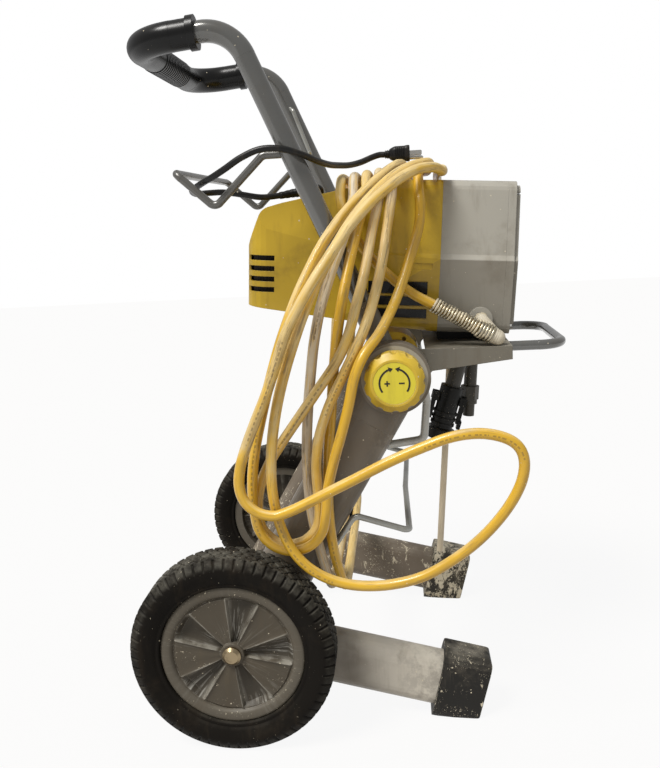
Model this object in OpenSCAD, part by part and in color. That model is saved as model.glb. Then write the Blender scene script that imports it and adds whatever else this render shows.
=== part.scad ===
// Airless paint sprayer on a two-wheeled cart.
// Millimetres, +Z up, +X towards the feet, -Y is the side with the hose outlet.
// Lengths along X are measured from the axle; placed() moves the origin to the middle.

/* [Wheels] */
// Tyre radius
tyre_r = 127; // [110:1:135]
// Tyre width
tyre_w = 55; // [45:1:58]
// Outer face of a tyre from the middle plane
tyre_face_y = 269; // [262:1:280]
// Outer radius of the plastic rim
rim_r = 90; // [80:1:98]
// Axle radius
axle_r = 8; // [6:0.5:10]
// Number of raised vanes on a rim
vane_count = 5; // [4:1:7]

/* [Side frames] */
// Height of the pivot shaft above the floor
pivot_z = 452; // [440:1:470]
// Distance of the pivot shaft ahead of the axle
pivot_x = 211; // [200:1:220]
// Middle of a leg from the middle plane
leg_y = 172.5; // [170:0.5:178]
// Long side of the oval leg tube
leg_deep = 74; // [66:1:78]
// Short side of the oval leg tube
leg_wide = 41; // [36:1:42]
// Wall of the leg tube
leg_wall = 2.5; // [1.5:0.5:4]
// Lean of the legs from upright, degrees
leg_lean = 31; // [28:0.5:33]
// Slope of the feet below level, degrees
foot_slope = 14; // [12:0.5:15]
// Height of a foot's middle line at the axle
foot_z = 109; // [104:1:114]
// Radius of the cast leg head
head_r = 43.5; // [40:0.5:48]
// Radius of the pivot shaft
pivot_r = 10; // [8:0.5:12]
// Radius of the yellow drum
drum_r = 33; // [30:1:36]
// Length of the yellow drum
drum_len = 60; // [50:1:80]

/* [Knob] */
// Radius of the lock knob
knob_r = 36; // [30:1:40]
// Depth of the lock knob
knob_deep = 27; // [20:1:32]
// Number of scallops round the knob
knob_scallops = 12; // [8:1:16]

/* [Handle] */
// Outer radius of the handle tube
tube_r = 12.7; // [11:0.1:14]
// Wall of the handle tube
tube_wall = 2; // [1.5:0.5:3]
// Middle of a handle tube from the middle plane
tube_y = 157.7; // [156:0.1:159]
// Height of the handle's upper bend
bend_z = 868.8; // [850:0.1:880]
// Radius of the rubber grip
grip_r = 17.5; // [16:0.5:20]
// Radius of the cord rack wire
rack_r = 4.8; // [4:0.1:6]

/* [Body] */
// Forward lean of the motor body, degrees
body_lean = 4.4; // [3.5:0.1:5]
// Half width of the motor body at its crease
body_half = 112; // [106:1:114]
// Height of the body above its crease
body_up = 95; // [90:1:100]
// Depth of the body below its crease
body_down = 97; // [94:1:98]
// Length of the yellow shroud
shroud_len = 256; // [240:1:262]
// Wall of the yellow shroud
shroud_wall = 3; // [2:0.5:4]
// Length of the grey gear housing
housing_len = 82; // [78:1:90]
// Wall of the grey gear housing
housing_wall = 5; // [4:0.5:7]
// Thickness of the front cover
cover_len = 15; // [12:1:18]

/* [Tray] */
// Height of the tray's top face
tray_z = 478; // [476:0.5:479]
// Front edge of the tray from the axle
tray_front = 357; // [350:1:362]
// Sheet thickness of the tray
tray_sheet = 3; // [2:0.5:4]
// Furthest reach of the front carrying loop from the axle
loop_front = 437; // [425:1:445]
// Radius of the front loop's tube
loop_r = 6.35; // [5.5:0.05:7]

/* [Drive] */
// Radius of the motor can
motor_r = 45; // [38:1:47]
// Pitch radius of the pinion
pinion_r = 7.5; // [6:0.5:9]
// Pitch radius of the drive gear
gear_r = 42; // [38:0.5:43]
// Throw of the crank
crank_throw = 12; // [8:0.5:13]
// Radius of the piston rod
piston_r = 7; // [5:0.5:8]

/* [Hose and leads] */
// Outer diameter of the paint hose
hose_d = 12.7; // [11:0.1:13]
// Outer diameter of the mains lead
lead_d = 8; // [7:0.1:9]
// Outer diameter of the drain tube
drain_d = 9.5; // [8:0.1:11]
// Coils of the hose's spring guard
guard_coils = 16; // [12:1:18]

/* [Hidden] */
$fn = 48;
eps = 0.01;

// ---- running clearances -------------------------------------------------
fit = 0.05;          // radial clearance of a shaft in its bore
gap = 0.5;           // clearance between neighbours that move past each other

// ---- colours ------------------------------------------------------------
grey_paint = [0.48, 0.48, 0.47];
pale_grey = [0.66, 0.65, 0.61];
yellow = [0.90, 0.72, 0.12];
black = [0.10, 0.10, 0.10];
steel = [0.75, 0.75, 0.75];
cream = [0.90, 0.84, 0.68];

// ---- where the whole machine stands --------------------------------------
mid_x = (loop_front - tyre_r) / 2;
axle_z = tyre_r;

module placed() translate([-mid_x, 0, 0]) children();
module on_side(side) if (side < 0) children(); else mirror([0, 1, 0]) children();

// ---- small vector helpers --------------------------------------------------
function unit(v) = v / norm(v);
function mix(a, b, t) = a * (1 - t) + b * t;
function turn(v, a) = [v[0] * cos(a) - v[1] * sin(a), v[0] * sin(a) + v[1] * cos(a)];

// Rounds every corner of an outline: pts are the sharp corners, radii their fillets.
function fillet_at(a, b, c, r, n) =
    let (u = unit(a - b), v = unit(c - b), half = acos(max(-1, min(1, u * v))) / 2)
    let (t = r / tan(half), mid = unit(u + v), o = b + mid * (r / sin(half)))
    let (s = b + u * t - o, side = s[0] * mid[1] - s[1] * mid[0])
    let (sweep = (180 - 2 * half) * (side > 0 ? -1 : 1))
    [for (i = [0 : n]) o + turn(s, sweep * i / n)];
function rounded(pts, radii, n = 6) =
    let (m = len(pts))
    [for (i = [0 : m - 1]) each
        radii[i] <= 0 ? [pts[i]] : fillet_at(pts[(i + m - 1) % m], pts[i], pts[(i + 1) % m], radii[i], n)];
function stadium(deep, wide, n = 12) =
    [for (i = [0 : n]) [wide / 2 * cos(180 * i / n), (deep - wide) / 2 + wide / 2 * sin(180 * i / n)],
     for (i = [0 : n]) [-wide / 2 * cos(180 * i / n), -(deep - wide) / 2 - wide / 2 * sin(180 * i / n)]];

// Round outline of a bar, or of a pipe when hole is above 0
module round_cut(r, hole = 0) difference() {
    circle(r = r);
    if (hole > 0) circle(r = hole);
}

// Straight bar or pipe from a to b
module bar(a, b, r, hole = 0) {
    d = b - a;
    translate(a)
        rotate([0, acos(d[2] / norm(d)), atan2(d[1], d[0])])
            linear_extrude(norm(d)) round_cut(r, hole);
}

// Part of a ring that carries a bar or pipe of radius r round the corner at b
module bend(a, b, c, radius, r, hole = 0) {
    d1 = unit(b - a);
    d2 = unit(c - b);
    sweep = acos(d1 * d2);
    n = unit(d2 - d1 * (d1 * d2));
    start = b - d1 * radius * tan(sweep / 2);
    o = start + n * radius;
    z = cross(-n, d1);
    multmatrix([[-n[0], d1[0], z[0], o[0]], [-n[1], d1[1], z[1], o[1]],
                [-n[2], d1[2], z[2], o[2]], [0, 0, 0, 1]])
        rotate_extrude(angle = sweep) translate([radius, 0]) round_cut(r, hole);
}

function trim(a, b, c, radius) = radius * tan(acos(unit(b - a) * unit(c - b)) / 2);

// Bent wire or tube through sharp corners pts, each rounded by the same radius.
// The bends are a hair thicker than the bars, which run a short way into them.
lap = 0.3;
swell = 0.12;
module wire(pts, radius, r, hole = 0) {
    last = len(pts) - 1;
    for (i = [0 : last - 1]) {
        d = unit(pts[i + 1] - pts[i]);
        t0 = i == 0 ? 0 : trim(pts[i - 1], pts[i], pts[i + 1], radius) - lap;
        t1 = i == last - 1 ? 0 : trim(pts[i], pts[i + 1], pts[i + 2], radius) - lap;
        bar(pts[i] + d * t0, pts[i + 1] - d * t1, r, hole);
    }
    for (i = [1 : last - 1])
        bend(pts[i - 1], pts[i], pts[i + 1], radius, r + swell, hole > 0 ? hole - swell : 0);
}

// ---- sweeps ---------------------------------------------------------------------
// Smooth curve through the stations p, with n steps between neighbours
function spline_at(a, b, c, d, t) =
    0.5 * (2 * b + (c - a) * t + (2 * a - 5 * b + 4 * c - d) * t * t + (3 * b - a - 3 * c + d) * t * t * t);
function smooth(p, n) = let (last = len(p) - 1) [
    for (i = [0 : last - 1], k = [0 : n - 1])
        spline_at(i > 0 ? p[i - 1] : 2 * p[0] - p[1], p[i], p[i + 1],
            i + 2 <= last ? p[i + 2] : 2 * p[last] - p[last - 1], k / n),
    p[last]];
function headings(q) = let (last = len(q) - 1) [
    for (i = [0 : last]) unit(q[min(i + 1, last)] - q[max(i - 1, 0)])];
// The same headings with both ends set square
function squared(t, a, b) = [for (i = [0 : len(t) - 1]) i == 0 ? a : i == len(t) - 1 ? b : t[i]];
function across(t, n) = unit(n - t * (n * t));
// A side direction carried along the curve without twisting
function carried(t, n0) = [
    for (i = 0, n = across(t[0], n0); i < len(t); i = i + 1, n = i < len(t) ? across(t[i], n) : n) n];
module swept(q, t, n, r, sides) {
    rings = len(q);
    corners = [for (i = [0 : rings - 1], k = [0 : sides - 1])
        q[i] + r * (cos(360 * k / sides) * n[i] + sin(360 * k / sides) * cross(t[i], n[i]))];
    walls = [for (i = [0 : rings - 2], k = [0 : sides - 1], half = [0, 1])
        let (a = i * sides + k, b = i * sides + (k + 1) % sides)
        half == 0 ? [a, a + sides, b] : [b, a + sides, b + sides]];
    caps = [for (k = [1 : sides - 2], end = [0, 1]) let (s = end * (rings - 1) * sides)
        end == 0 ? [0, k, k + 1] : [s, s + k + 1, s + k]];
    polyhedron(points = corners, faces = concat(walls, caps));
}
function part_of(v, a, b) = [for (i = [a : b]) v[i]];
// Distance from point p to the stretch a to b
function off_line(p, a, b) = let (d = b - a, t = max(0, min(1, (p - a) * d / (d * d)))) norm(p - a - d * t);
// Least clear gap of a tube of diameter d between stretches more than skip steps apart
function least_gap(q, d, skip) = min([for (i = [0 : len(q) - 1], j = [i + skip : 1 : len(q) - 2])
    if (norm(q[i] - q[j]) < 4 * d) off_line(q[i], q[j], q[j + 1])]) - d;

// ---- wheels ----------------------------------------------------------------
tyre_mid_y = tyre_face_y - tyre_w / 2;
hub_r = 19;
rim_half = 18;                    // half the rim's width at the tyre
hub_half = 14;
flange_in_r = rim_r - 13;
disc_half = 4;
vane_rise = 12;

module at_wheel(side) placed() translate([0, side * tyre_mid_y, axle_z]) rotate([90, 0, 0]) children();

module tyre(side) {
    tread = rounded([[rim_r, -tyre_w / 2 + 7], [tyre_r - 14, -tyre_w / 2], [tyre_r, -tyre_w / 2 + 9],
        [tyre_r, tyre_w / 2 - 9], [tyre_r - 14, tyre_w / 2], [rim_r, tyre_w / 2 - 7]], [0, 8, 6, 6, 8, 0]);
    groove_deep = 3;
    color(black) at_wheel(side)
        difference() {
            rotate_extrude($fn = 96) polygon(tread);
            for (y = [-1, 1])
                translate([0, 0, y * 7 - 1]) difference() {
                    cylinder(r = tyre_r + 1, h = 2, $fn = 96);
                    translate([0, 0, -1]) cylinder(r = tyre_r - groove_deep, h = 4, $fn = 96);
                }
        }
}

// Outline of one raised vane between two radii
function arc(r, a0, a1, steps) = [
    for (i = [0 : steps]) let (a = a0 + (a1 - a0) * i / steps) r * [cos(a), sin(a)]];
module vane(a0, a1, r0, r1, h) linear_extrude(h) polygon(concat(arc(r1, a0, a1, 5), arc(r0, a1, a0, 5)));

module rim(side) {
    ring = rounded([[flange_in_r, -rim_half], [rim_r, -rim_half], [rim_r, rim_half], [flange_in_r, rim_half]],
        [3, 1, 1, 3], 4);
    pitch = 360 / vane_count;
    outward = side < 0 ? 1 : -1;
    color(grey_paint) at_wheel(side) difference() {
        union() {
            rotate_extrude($fn = 96) polygon(ring);
            translate([0, 0, -disc_half]) cylinder(r = flange_in_r + 1, h = 2 * disc_half, $fn = 96);
            translate([0, 0, -hub_half]) cylinder(r = hub_r, h = 2 * hub_half);
            for (i = [0 : vane_count - 1])
                translate([0, 0, outward > 0 ? disc_half - 1 : -disc_half - vane_rise + 1])
                    vane(i * pitch + 20, i * pitch + 61, hub_r - 1, flange_in_r + 1, vane_rise);
        }
        translate([0, 0, -hub_half - 1]) cylinder(r = axle_r + fit, h = 2 * hub_half + 2);
    }
}

axle_end_y = tyre_mid_y + hub_half + 4;
cap_deep = 9;
module axle() color(steel) placed() translate([0, axle_end_y, axle_z]) rotate([90, 0, 0])
    cylinder(r = axle_r, h = 2 * axle_end_y);
module hub_caps() color([0.72, 0.60, 0.38])
    for (side = [-1, 1]) on_side(side) placed() translate([0, -tyre_mid_y - hub_half - gap, axle_z])
        rotate([90, 0, 0]) difference() {
            union() {
                cylinder(r = 13, h = 2);
                cylinder(r = 11.5, h = cap_deep - 3);
                translate([0, 0, cap_deep - 3]) cylinder(r1 = 11.5, r2 = 8, h = 3, $fn = 48);
            }
            translate([0, 0, -1]) cylinder(r = axle_r, h = 4 - gap + 1);
        }

// ---- side frames -------------------------------------------------------------
leg_dir = [-sin(leg_lean), 0, -cos(leg_lean)];
foot_dir = [cos(foot_slope), 0, -sin(foot_slope)];
seam = 66;                       // pivot to the joint between head casting and tube
// Where the middle lines of leg and foot cross
corner_s = (pivot_z - foot_z + pivot_x * tan(foot_slope))
    / (cos(leg_lean) + sin(leg_lean) * tan(foot_slope));
corner = [pivot_x, 0, pivot_z] + corner_s * leg_dir;
mitre_a = (atan2(leg_dir[2], leg_dir[0]) + 180 + atan2(foot_dir[2], foot_dir[0])) / 2;
foot_end = 268;                  // where the foot tube ends inside its cap
foot_len = (foot_end - corner[0]) / cos(foot_slope);

module oval(deep, wide, h) linear_extrude(h) polygon(stadium(deep, wide));
// Frames that run along a leg from the pivot, and along a foot from the corner
module along_leg(side) placed() translate([pivot_x, side * leg_y, pivot_z])
    rotate([0, 180 + leg_lean, 0]) rotate([0, 0, 90]) children();
module along_foot(side) placed() translate([corner[0], side * leg_y, corner[2]])
    rotate([0, 90 + foot_slope, 0]) rotate([0, 0, 90]) children();
// Half space ahead of the mitre plane (front = 1) or behind it (front = -1)
module mitre_side(side, front) placed() translate([corner[0], side * leg_y, corner[2]])
    rotate([0, -mitre_a, 0]) translate([-300, -100, front > 0 ? -600 : 0]) cube([600, 200, 600]);

module frame_tubes(side, deep, wide, extra) {
    intersection() {
        along_leg(side) translate([0, 0, seam - extra]) oval(deep, wide, corner_s - seam + 60 + extra);
        mitre_side(side, -1);
    }
    intersection() {
        along_foot(side) translate([0, 0, -60]) oval(deep, wide, foot_len + 60 + extra);
        mitre_side(side, 1);
    }
}

module side_frame(side) color(grey_paint) difference() {
    frame_tubes(side, leg_deep, leg_wide, 0);
    frame_tubes(side, leg_deep - 2 * leg_wall, leg_wide - 2 * leg_wall, 1);
    placed() translate([0, side * leg_y + 50, axle_z]) rotate([90, 0, 0]) cylinder(r = axle_r, h = 100);
}

// Cast head: a disc round the pivot that narrows into the oval leg
head_in_y = 174;
head_out_y = 200;
module leg_head(side) color(pale_grey) on_side(side) {
    difference() {
        union() {
            placed() translate([pivot_x, -head_in_y, pivot_z]) rotate([90, 0, 0])
                cylinder(r = head_r, h = head_out_y - head_in_y, $fn = 96);
            intersection() {
                along_leg(-1) oval(leg_deep, leg_wide, seam);
                placed() translate([pivot_x - 150, -head_out_y, pivot_z - 200])
                    cube([300, head_out_y - head_in_y, 400]);
            }
            along_leg(-1) translate([0, 0, head_r + 6]) oval(leg_deep, leg_wide, seam - head_r - 6);
            along_leg(-1) oval(leg_deep - 2 * leg_wall, leg_wide - 2 * leg_wall, seam + 25);
        }
        placed() translate([pivot_x - 60, -head_in_y, pivot_z]) rotate([0, 0, 0])
            translate([0, 0, -head_r - 2]) cube([150, 60, 2 * head_r + 60]);
        placed() translate([pivot_x, -head_in_y + 1, pivot_z]) rotate([90, 0, 0])
            cylinder(r = pivot_r, h = head_out_y - head_in_y + 2);
        placed() translate([pivot_x, -head_in_y + 60, pivot_z]) rotate([90, 0, 0])
            cylinder(r = head_r + 3, h = 60 + eps, $fn = 96);
    }
}

module pivot_shaft() color(steel) placed() translate([pivot_x, head_out_y + 2, pivot_z])
    rotate([90, 0, 0]) cylinder(r = pivot_r, h = 2 * head_out_y + 4);

module pivot_drum() color(yellow) placed() translate([pivot_x, drum_len / 2, pivot_z]) rotate([90, 0, 0])
    difference() {
        union() {
            cylinder(r = drum_r, h = drum_len, $fn = 96);
            translate([0, 0, -6]) cylinder(r = drum_r - 12, h = drum_len + 12);
        }
        translate([0, 0, -7]) cylinder(r = pivot_r, h = drum_len + 14);
        for (a = [60, 240]) rotate([0, 0, a])
            translate([drum_r - 7, 0, drum_len - 10]) cylinder(r = 3, h = 11);
    }

// Rubber foot cap: a block square to the foot, cut flat on the floor
cap_lip = 9;
cap_back = 241;
cap_front = 302.5;
module foot_cap(side) color(black) on_side(side) difference() {
    intersection() {
        placed() translate([0, -leg_y + 40, 0]) rotate([90, 0, 0]) linear_extrude(80)
            polygon(rounded([[cap_back, 0], [cap_front, 0], [cap_front + 20, 77], [cap_back + 22, 92 + 1]],
                [1, 3, 8, 3], 5));
        along_foot(-1) oval(leg_deep + 2 * cap_lip + 14, leg_wide + 10, 400);
    }
    along_foot(-1) oval(leg_deep, leg_wide, foot_len);
}

// The leg and its head as one solid, for cutting the ends of what is welded to them
module leg_block(side) {
    along_leg(side) oval(leg_deep, leg_wide, corner_s);
    on_side(side) placed() translate([pivot_x, -head_in_y, pivot_z]) rotate([90, 0, 0])
        cylinder(r = head_r, h = head_out_y - head_in_y, $fn = 96);
}

// Wire bracket between the legs that carries the pail's bail
bracket_r = 4;
bracket_z = 251;
bracket_front = 222;
bracket_y = leg_y + 4;
function leg_front_x(z, deep) = pivot_x - (pivot_z - z) * tan(leg_lean) + deep / 2 / cos(leg_lean);
module pail_bracket() color(steel) {
    back_x = leg_front_x(bracket_z + 25, leg_deep) + bracket_r + 1;
    low_z = bracket_z - 12;
    low_x = leg_front_x(low_z, leg_deep) + bracket_r + 1;
    difference() {
        placed() wire([[low_x - 7, -bracket_y, low_z - 8], [back_x, -bracket_y, bracket_z + 22],
            [bracket_front, -bracket_y, bracket_z], [bracket_front - 4, 0, bracket_z],
            [bracket_front, bracket_y, bracket_z], [back_x, bracket_y, bracket_z + 22],
            [low_x - 7, bracket_y, low_z - 8]], 10, bracket_r);
        for (side = [-1, 1]) leg_block(side);
    }
}

// Curved hooks on the leg fronts, under the heads
hook_r = 5;
module leg_hooks() color(grey_paint) for (side = [-1, 1]) on_side(side) difference() {
    placed() {
        y = -leg_y + 4;
        low = [leg_front_x(362, leg_deep) - 3, y, 362];
        wire([low, low + [47, 0, 6], [pivot_x + 38, y, pivot_z - 36],
              [pivot_x + 35, y - 16, pivot_z - 12]], 9, hook_r);
    }
    leg_block(-1);
}

// ---- lock knob -----------------------------------------------------------------
knob_back_y = head_out_y + gap;
module lock_knob() color(yellow) placed() translate([pivot_x, -knob_back_y, pivot_z]) rotate([90, 0, 0])
    difference() {
        union() {
            cylinder(r = knob_r - 1, h = 6);
            translate([0, 0, 5]) cylinder(r = knob_r, h = knob_deep - 11, $fn = 96);
            translate([0, 0, knob_deep - 6]) cylinder(r1 = knob_r, r2 = knob_r - 8, h = 6, $fn = 96);
        }
        for (i = [0 : knob_scallops - 1]) rotate([0, 0, i * 360 / knob_scallops])
            translate([knob_r + 3, 0, 4]) cylinder(r = 5.5, h = knob_deep);
        translate([0, 0, -1]) cylinder(r = pivot_r + fit, h = 3 + 1);
        translate([0, 0, knob_deep - 1.5]) cylinder(r = knob_r - 11, h = 3);
    }
dial_sheet = 1.2;
module knob_dial() color([0.93, 0.84, 0.15]) placed()
    translate([pivot_x, -knob_back_y - knob_deep + 1.5, pivot_z]) rotate([90, 0, 0])
        cylinder(r = knob_r - 11, h = dial_sheet);

// ---- handle ------------------------------------------------------------------
tube_dir = unit([pivot_x - 37.2, 0, pivot_z - bend_z]);
tube_end = 46;                   // distance of the tube's lower end from the pivot
grip_corner = [-83.5, 858.3];
function handle_corner(side, x, z) = [x, side * tube_y, z];
handle_path = concat(
    [[pivot_x, -tube_y, pivot_z] - tube_end * tube_dir],
    [handle_corner(-1, 37.2, bend_z), handle_corner(-1, grip_corner[0], grip_corner[1]),
     handle_corner(1, grip_corner[0], grip_corner[1]), handle_corner(1, 37.2, bend_z)],
    [[pivot_x, tube_y, pivot_z] - tube_end * tube_dir]);
handle_bend = 50;
module handle_tube() color(grey_paint) placed() wire(handle_path, handle_bend, tube_r, tube_r - tube_wall);

grip_end_x = -4;
module handle_grip() color(black) placed() {
    arm = unit(handle_path[1] - handle_path[2]);
    reach = (grip_end_x - grip_corner[0]) / arm[0];
    ends = [for (side = [-1, 1]) handle_corner(side, grip_corner[0], grip_corner[1]) + arm * reach];
    path = [ends[0], handle_path[2], handle_path[3], ends[1]];
    wire(path, handle_bend, grip_r, tube_r + 2 * swell);
    for (e = ends) bar(e - arm * 9, e, grip_r + 2.5, grip_r - 2);
    for (i = [0 : 15]) translate([grip_corner[0], -60 + i * 8, grip_corner[1]]) rotate([-90, 0, 0])
        linear_extrude(3.4) round_cut(grip_r + 0.9, grip_r - 1);
}

// Wire rack for the lead, welded behind the handle tubes
function tube_x(z) = pivot_x + (z - pivot_z) / tube_dir[2] * tube_dir[0];
module tube_block() for (side = [-1, 1]) on_side(side) bar(handle_path[0], handle_path[1], tube_r);
module cord_rack() color(grey_paint) placed() difference() {
    top_z = 722;
    back = tube_x(top_z) - tube_r + 2;
    wire([[back, -tube_y, top_z], [64, -tube_y, top_z], [2, -tube_y, 664], [-44, -tube_y, 707],
          [-44, tube_y, 707], [2, tube_y, 664], [64, tube_y, top_z], [back, tube_y, top_z]], 9, rack_r);
    tube_block();
}

module gun_hook() color(steel) placed() difference() {
    y = tube_y - tube_r - 3;
    wire([[tube_x(812) + 2, y + 8, 812], [tube_x(806) + 6, y - 4, 806], [tube_x(742) + 2, y - 4, 742],
          [tube_x(738), y + 8, 738]], 4, 3);
    tube_block();
}

// Casting on each side of the tray: carries the handle tube's end and turns on the pivot shaft
hub_out_y = 172.5;
hub_in_y = 148;
sleeve_r = 14.7;
sleeve_len = 96;
module handle_hub(side) color(grey_paint) on_side(side) placed() difference() {
    union() {
        translate([pivot_x, -hub_in_y, pivot_z]) rotate([90, 0, 0])
            cylinder(r = 38, h = hub_out_y - hub_in_y);
        bar([pivot_x, -tube_y, pivot_z] - 30 * tube_dir,
            [pivot_x, -tube_y, pivot_z] - sleeve_len * tube_dir, sleeve_r);
        translate([pivot_x, -tube_y, pivot_z] - 84 * tube_dir) rotate([90, 0, 0])
            cylinder(r = 5, h = 16.5, center = false, $fn = 6);
    }
    bar([pivot_x, -tube_y, pivot_z] - tube_end * tube_dir,
        [pivot_x, -tube_y, pivot_z] - 120 * tube_dir, tube_r);
    translate([pivot_x, -hub_in_y + 1, pivot_z]) rotate([90, 0, 0]) cylinder(r = pivot_r + fit, h = 30);
    // flat against the tray's flange
    translate([pivot_x - 60, -hub_in_y, pivot_z - 60]) cube([120, 30, 60 + 37]);
}

// ---- tray -----------------------------------------------------------------------
tray_half = hub_in_y;
lip_deep = 17;
deck_back = pivot_x + drum_r + 6;
module flange_side(y0) translate([0, y0, 0]) rotate([90, 0, 0]) linear_extrude(tray_sheet)
    difference() {
        union() {
            polygon([[tray_front, tray_z], [tray_front, tray_z - lip_deep], [pivot_x + 47, tray_z - 28],
                     [pivot_x + 15, pivot_z - 35], [pivot_x - 20, pivot_z - 28], [pivot_x - 10, pivot_z + 36],
                     [pivot_x + 30, tray_z]]);
            translate([pivot_x, pivot_z]) circle(r = 36);
        }
        translate([pivot_x, pivot_z]) circle(r = pivot_r + fit);
    }
// The pump stands square to the crankshaft, so it leans with the body
module along_pump() translate([split_x, 0, split_z]) rotate([0, body_lean, 0])
    translate([pump_lx, 0, 0]) children();
module tray() color(grey_paint) placed() difference() {
    union() {
        translate([deck_back, -tray_half, tray_z - tray_sheet])
            cube([tray_front - deck_back, 2 * tray_half, tray_sheet]);
        flange_side(-tray_half + tray_sheet);
        flange_side(tray_half);
        translate([tray_front - tray_sheet, -tray_half, tray_z - lip_deep])
            cube([tray_sheet, 2 * tray_half, lip_deep]);
    }
    along_pump() translate([0, 0, -140]) cylinder(r = 20, h = 80);
}

loop_half = 95;
loop_z = tray_z - 9;
module front_loop() color(grey_paint) placed()
    wire([[tray_front, -loop_half, loop_z], [loop_front - loop_r, -loop_half, loop_z],
          [loop_front - loop_r, loop_half, loop_z], [tray_front, loop_half, loop_z]], 34, loop_r);

// ---- motor body ---------------------------------------------------------------
split_x = 274;
split_z = 589;
module in_body() placed() translate([split_x, 0, split_z]) rotate([0, body_lean, 0]) children();
// Cross-section seen from the front; s draws the section in by a wall
crease = 4.5;
function section(s, half, up, down) = rounded([
    [half - 6 - s, -down + s], [half - s, -3], [half - crease - s, 3], [half - 20 - s, up - s],
    [-(half - 20 - s), up - s], [-(half - crease - s), 3], [-(half - s), -3], [-(half - 6 - s), -down + s]],
    [12, 2, 2, 14, 14, 2, 2, 12], 4);
module block_x(x0, x1, s, half, up, down) translate([x0, 0, 0]) rotate([90, 0, 90])
    linear_extrude(x1 - x0) polygon(section(s, half, up, down));
// Side outline of the shroud, from above the split down round the rear
function shroud_side(s) = rounded([
    [0.01, body_up - s], [-56, body_up - 1 - s], [-125, body_up - 14 - s], [-204, body_up - 33 - s],
    [-shroud_len + 26, body_up - 41 - s], [-shroud_len + 6 + s, 5], [-shroud_len + s, -50],
    [-shroud_len + s, -70 + s], [-60, -body_down + 6 + s], [0.01, -body_down + s]],
    [0, 30, 40, 20, 18, 20, 8, 8, 30, 0], 5);
// Plan outline of the shroud
function shroud_plan(s) = rounded([
    [0.01, body_half - s], [-shroud_len + 6 + s, body_half - 10 - s],
    [-shroud_len + 6 + s, -body_half + 10 + s],
    [0.01, -body_half + s]], [0, 28, 28, 0], 6);
module shroud_form(s) intersection() {
    translate([0, 150, 0]) rotate([90, 0, 0]) linear_extrude(300) polygon(shroud_side(s));
    translate([0, 0, -150]) linear_extrude(300) polygon(shroud_plan(s));
    block_x(-shroud_len - 10, 0, s, body_half, body_up, body_down);
}
louvre_count = 4;
louvre_pitch = 13.5;
slot_h = 6.5;
label_back = -90;
label_len = 75;
plate_in = 1.4;
plate_sheet = 1;
label_rows = [[-32, 17], [-51, 13], [-67, 13]];   // top edge and height of each plate
// Half width of the body below its crease, and a frame on the near wall at a plate's back end
function wall_half(z) = body_half - 6 + (z + body_down) * 6 / (body_down - 3);
module on_wall(row) translate([label_back, -wall_half(row[0] - row[1] / 2), row[0] - row[1] / 2])
    rotate([atan(6 / (body_down - 3)), 0, 0]) children();
module shroud() color(yellow) difference() {
    shroud_shell();
    placed() translate([gland_x, gland_y, 640]) cylinder(r = gland_r, h = 60);
}
module shroud_shell() in_body() difference() {
    shroud_form(0);
    difference() {
        shroud_form(shroud_wall);
        translate([-4, -200, -150]) cube([10, 400, 300]);
    }
    translate([-30, 0, 0]) rotate([0, 90, 0]) translate([0, 0, 0]) cylinder(r = 80, h = 60, $fn = 96);
    // cooling slots round the rear corner
    for (side = [-1, 1], i = [0 : louvre_count - 1])
        translate([-shroud_len - 1, side < 0 ? -body_half - 5 : body_half - 35,
                   -8 - i * louvre_pitch - slot_h / 2]) cube([45, 40, slot_h]);
    // recesses for the label plates and the long slot above them
    for (row = label_rows) on_wall(row)
        translate([-0.4, -1, -row[1] / 2]) cube([label_len + 0.8, 1 + plate_in, row[1]]);
    translate([-105, -body_half - 2, -17]) cube([95, 4.2, 8]);
    translate([switch_spot[0] - rocker[0] / 2 - 1, 90, switch_spot[1] - rocker[1] / 2 - 1.6])
        cube([rocker[0] + 2, 40, rocker[1] + 3.2]);
    translate([switch_spot[0] - rocker[0] / 2 - 3.5, rocker_pin_y, switch_spot[1]]) rotate([0, 90, 0])
        cylinder(r = 0.9 + fit, h = rocker[0] + 7);
}
module label_plates() color(black) in_body() for (row = label_rows)
    on_wall(row) translate([0, plate_in - plate_sheet, 1 - row[1] / 2])
        cube([label_len, plate_sheet, row[1] - 2]);

shaft_z = -16;                    // motor shaft below the crease
gear_z = shaft_z + pinion_r + gear_r + 0.5;
pump_lx = 56;                     // pump axis ahead of the split
outlet_x = 322;
outlet_z = 508;
boss_r = 15;
module gear_housing() color(pale_grey) difference() {
    union() {
        in_body() difference() {
            block_x(0, housing_len, 0, body_half, body_up, body_down);
            block_x(8, housing_len + 1, housing_wall, body_half, body_up, body_down);
        }
        placed() translate([outlet_x, -body_half + 20, outlet_z]) rotate([90, 0, 0])
            cylinder(r = boss_r, h = 22);
    }
    // bearing seat for the armature, shaft passage and piston rod passage
    in_body() translate([-1, 0, shaft_z]) rotate([0, 90, 0]) cylinder(r = 13, h = 10);
    in_body() translate([-1, 0, gear_z]) rotate([0, 90, 0]) cylinder(r = 9 + fit, h = 10);
    in_body() translate([pump_lx, 0, -body_down - 1]) cylinder(r = 14, h = housing_wall + 3);
    for (spot = [pressure_spot, prime_spot])
        on_far_side(spot, stem_in - 10) cylinder(r = stem_r + fit, h = 30);
}
module front_cover() color(pale_grey) in_body() difference() {
    union() {
        block_x(housing_len, housing_len + cover_len - 5, 0, body_half, body_up, body_down);
        block_x(housing_len + cover_len - 5 - eps, housing_len + cover_len, 5, body_half, body_up, body_down);
    }
    translate([housing_len - 1, 0, gear_z]) rotate([0, 90, 0]) cylinder(r = 9 + fit, h = 8);
    for (p = screw_spots)
        translate([housing_len + cover_len - 6, p[0], p[1]]) rotate([0, 90, 0]) cylinder(r = 5, h = 8);
}
screw_spots = [[-84, 78], [84, 78], [-96, -84], [96, -84]];
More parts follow.
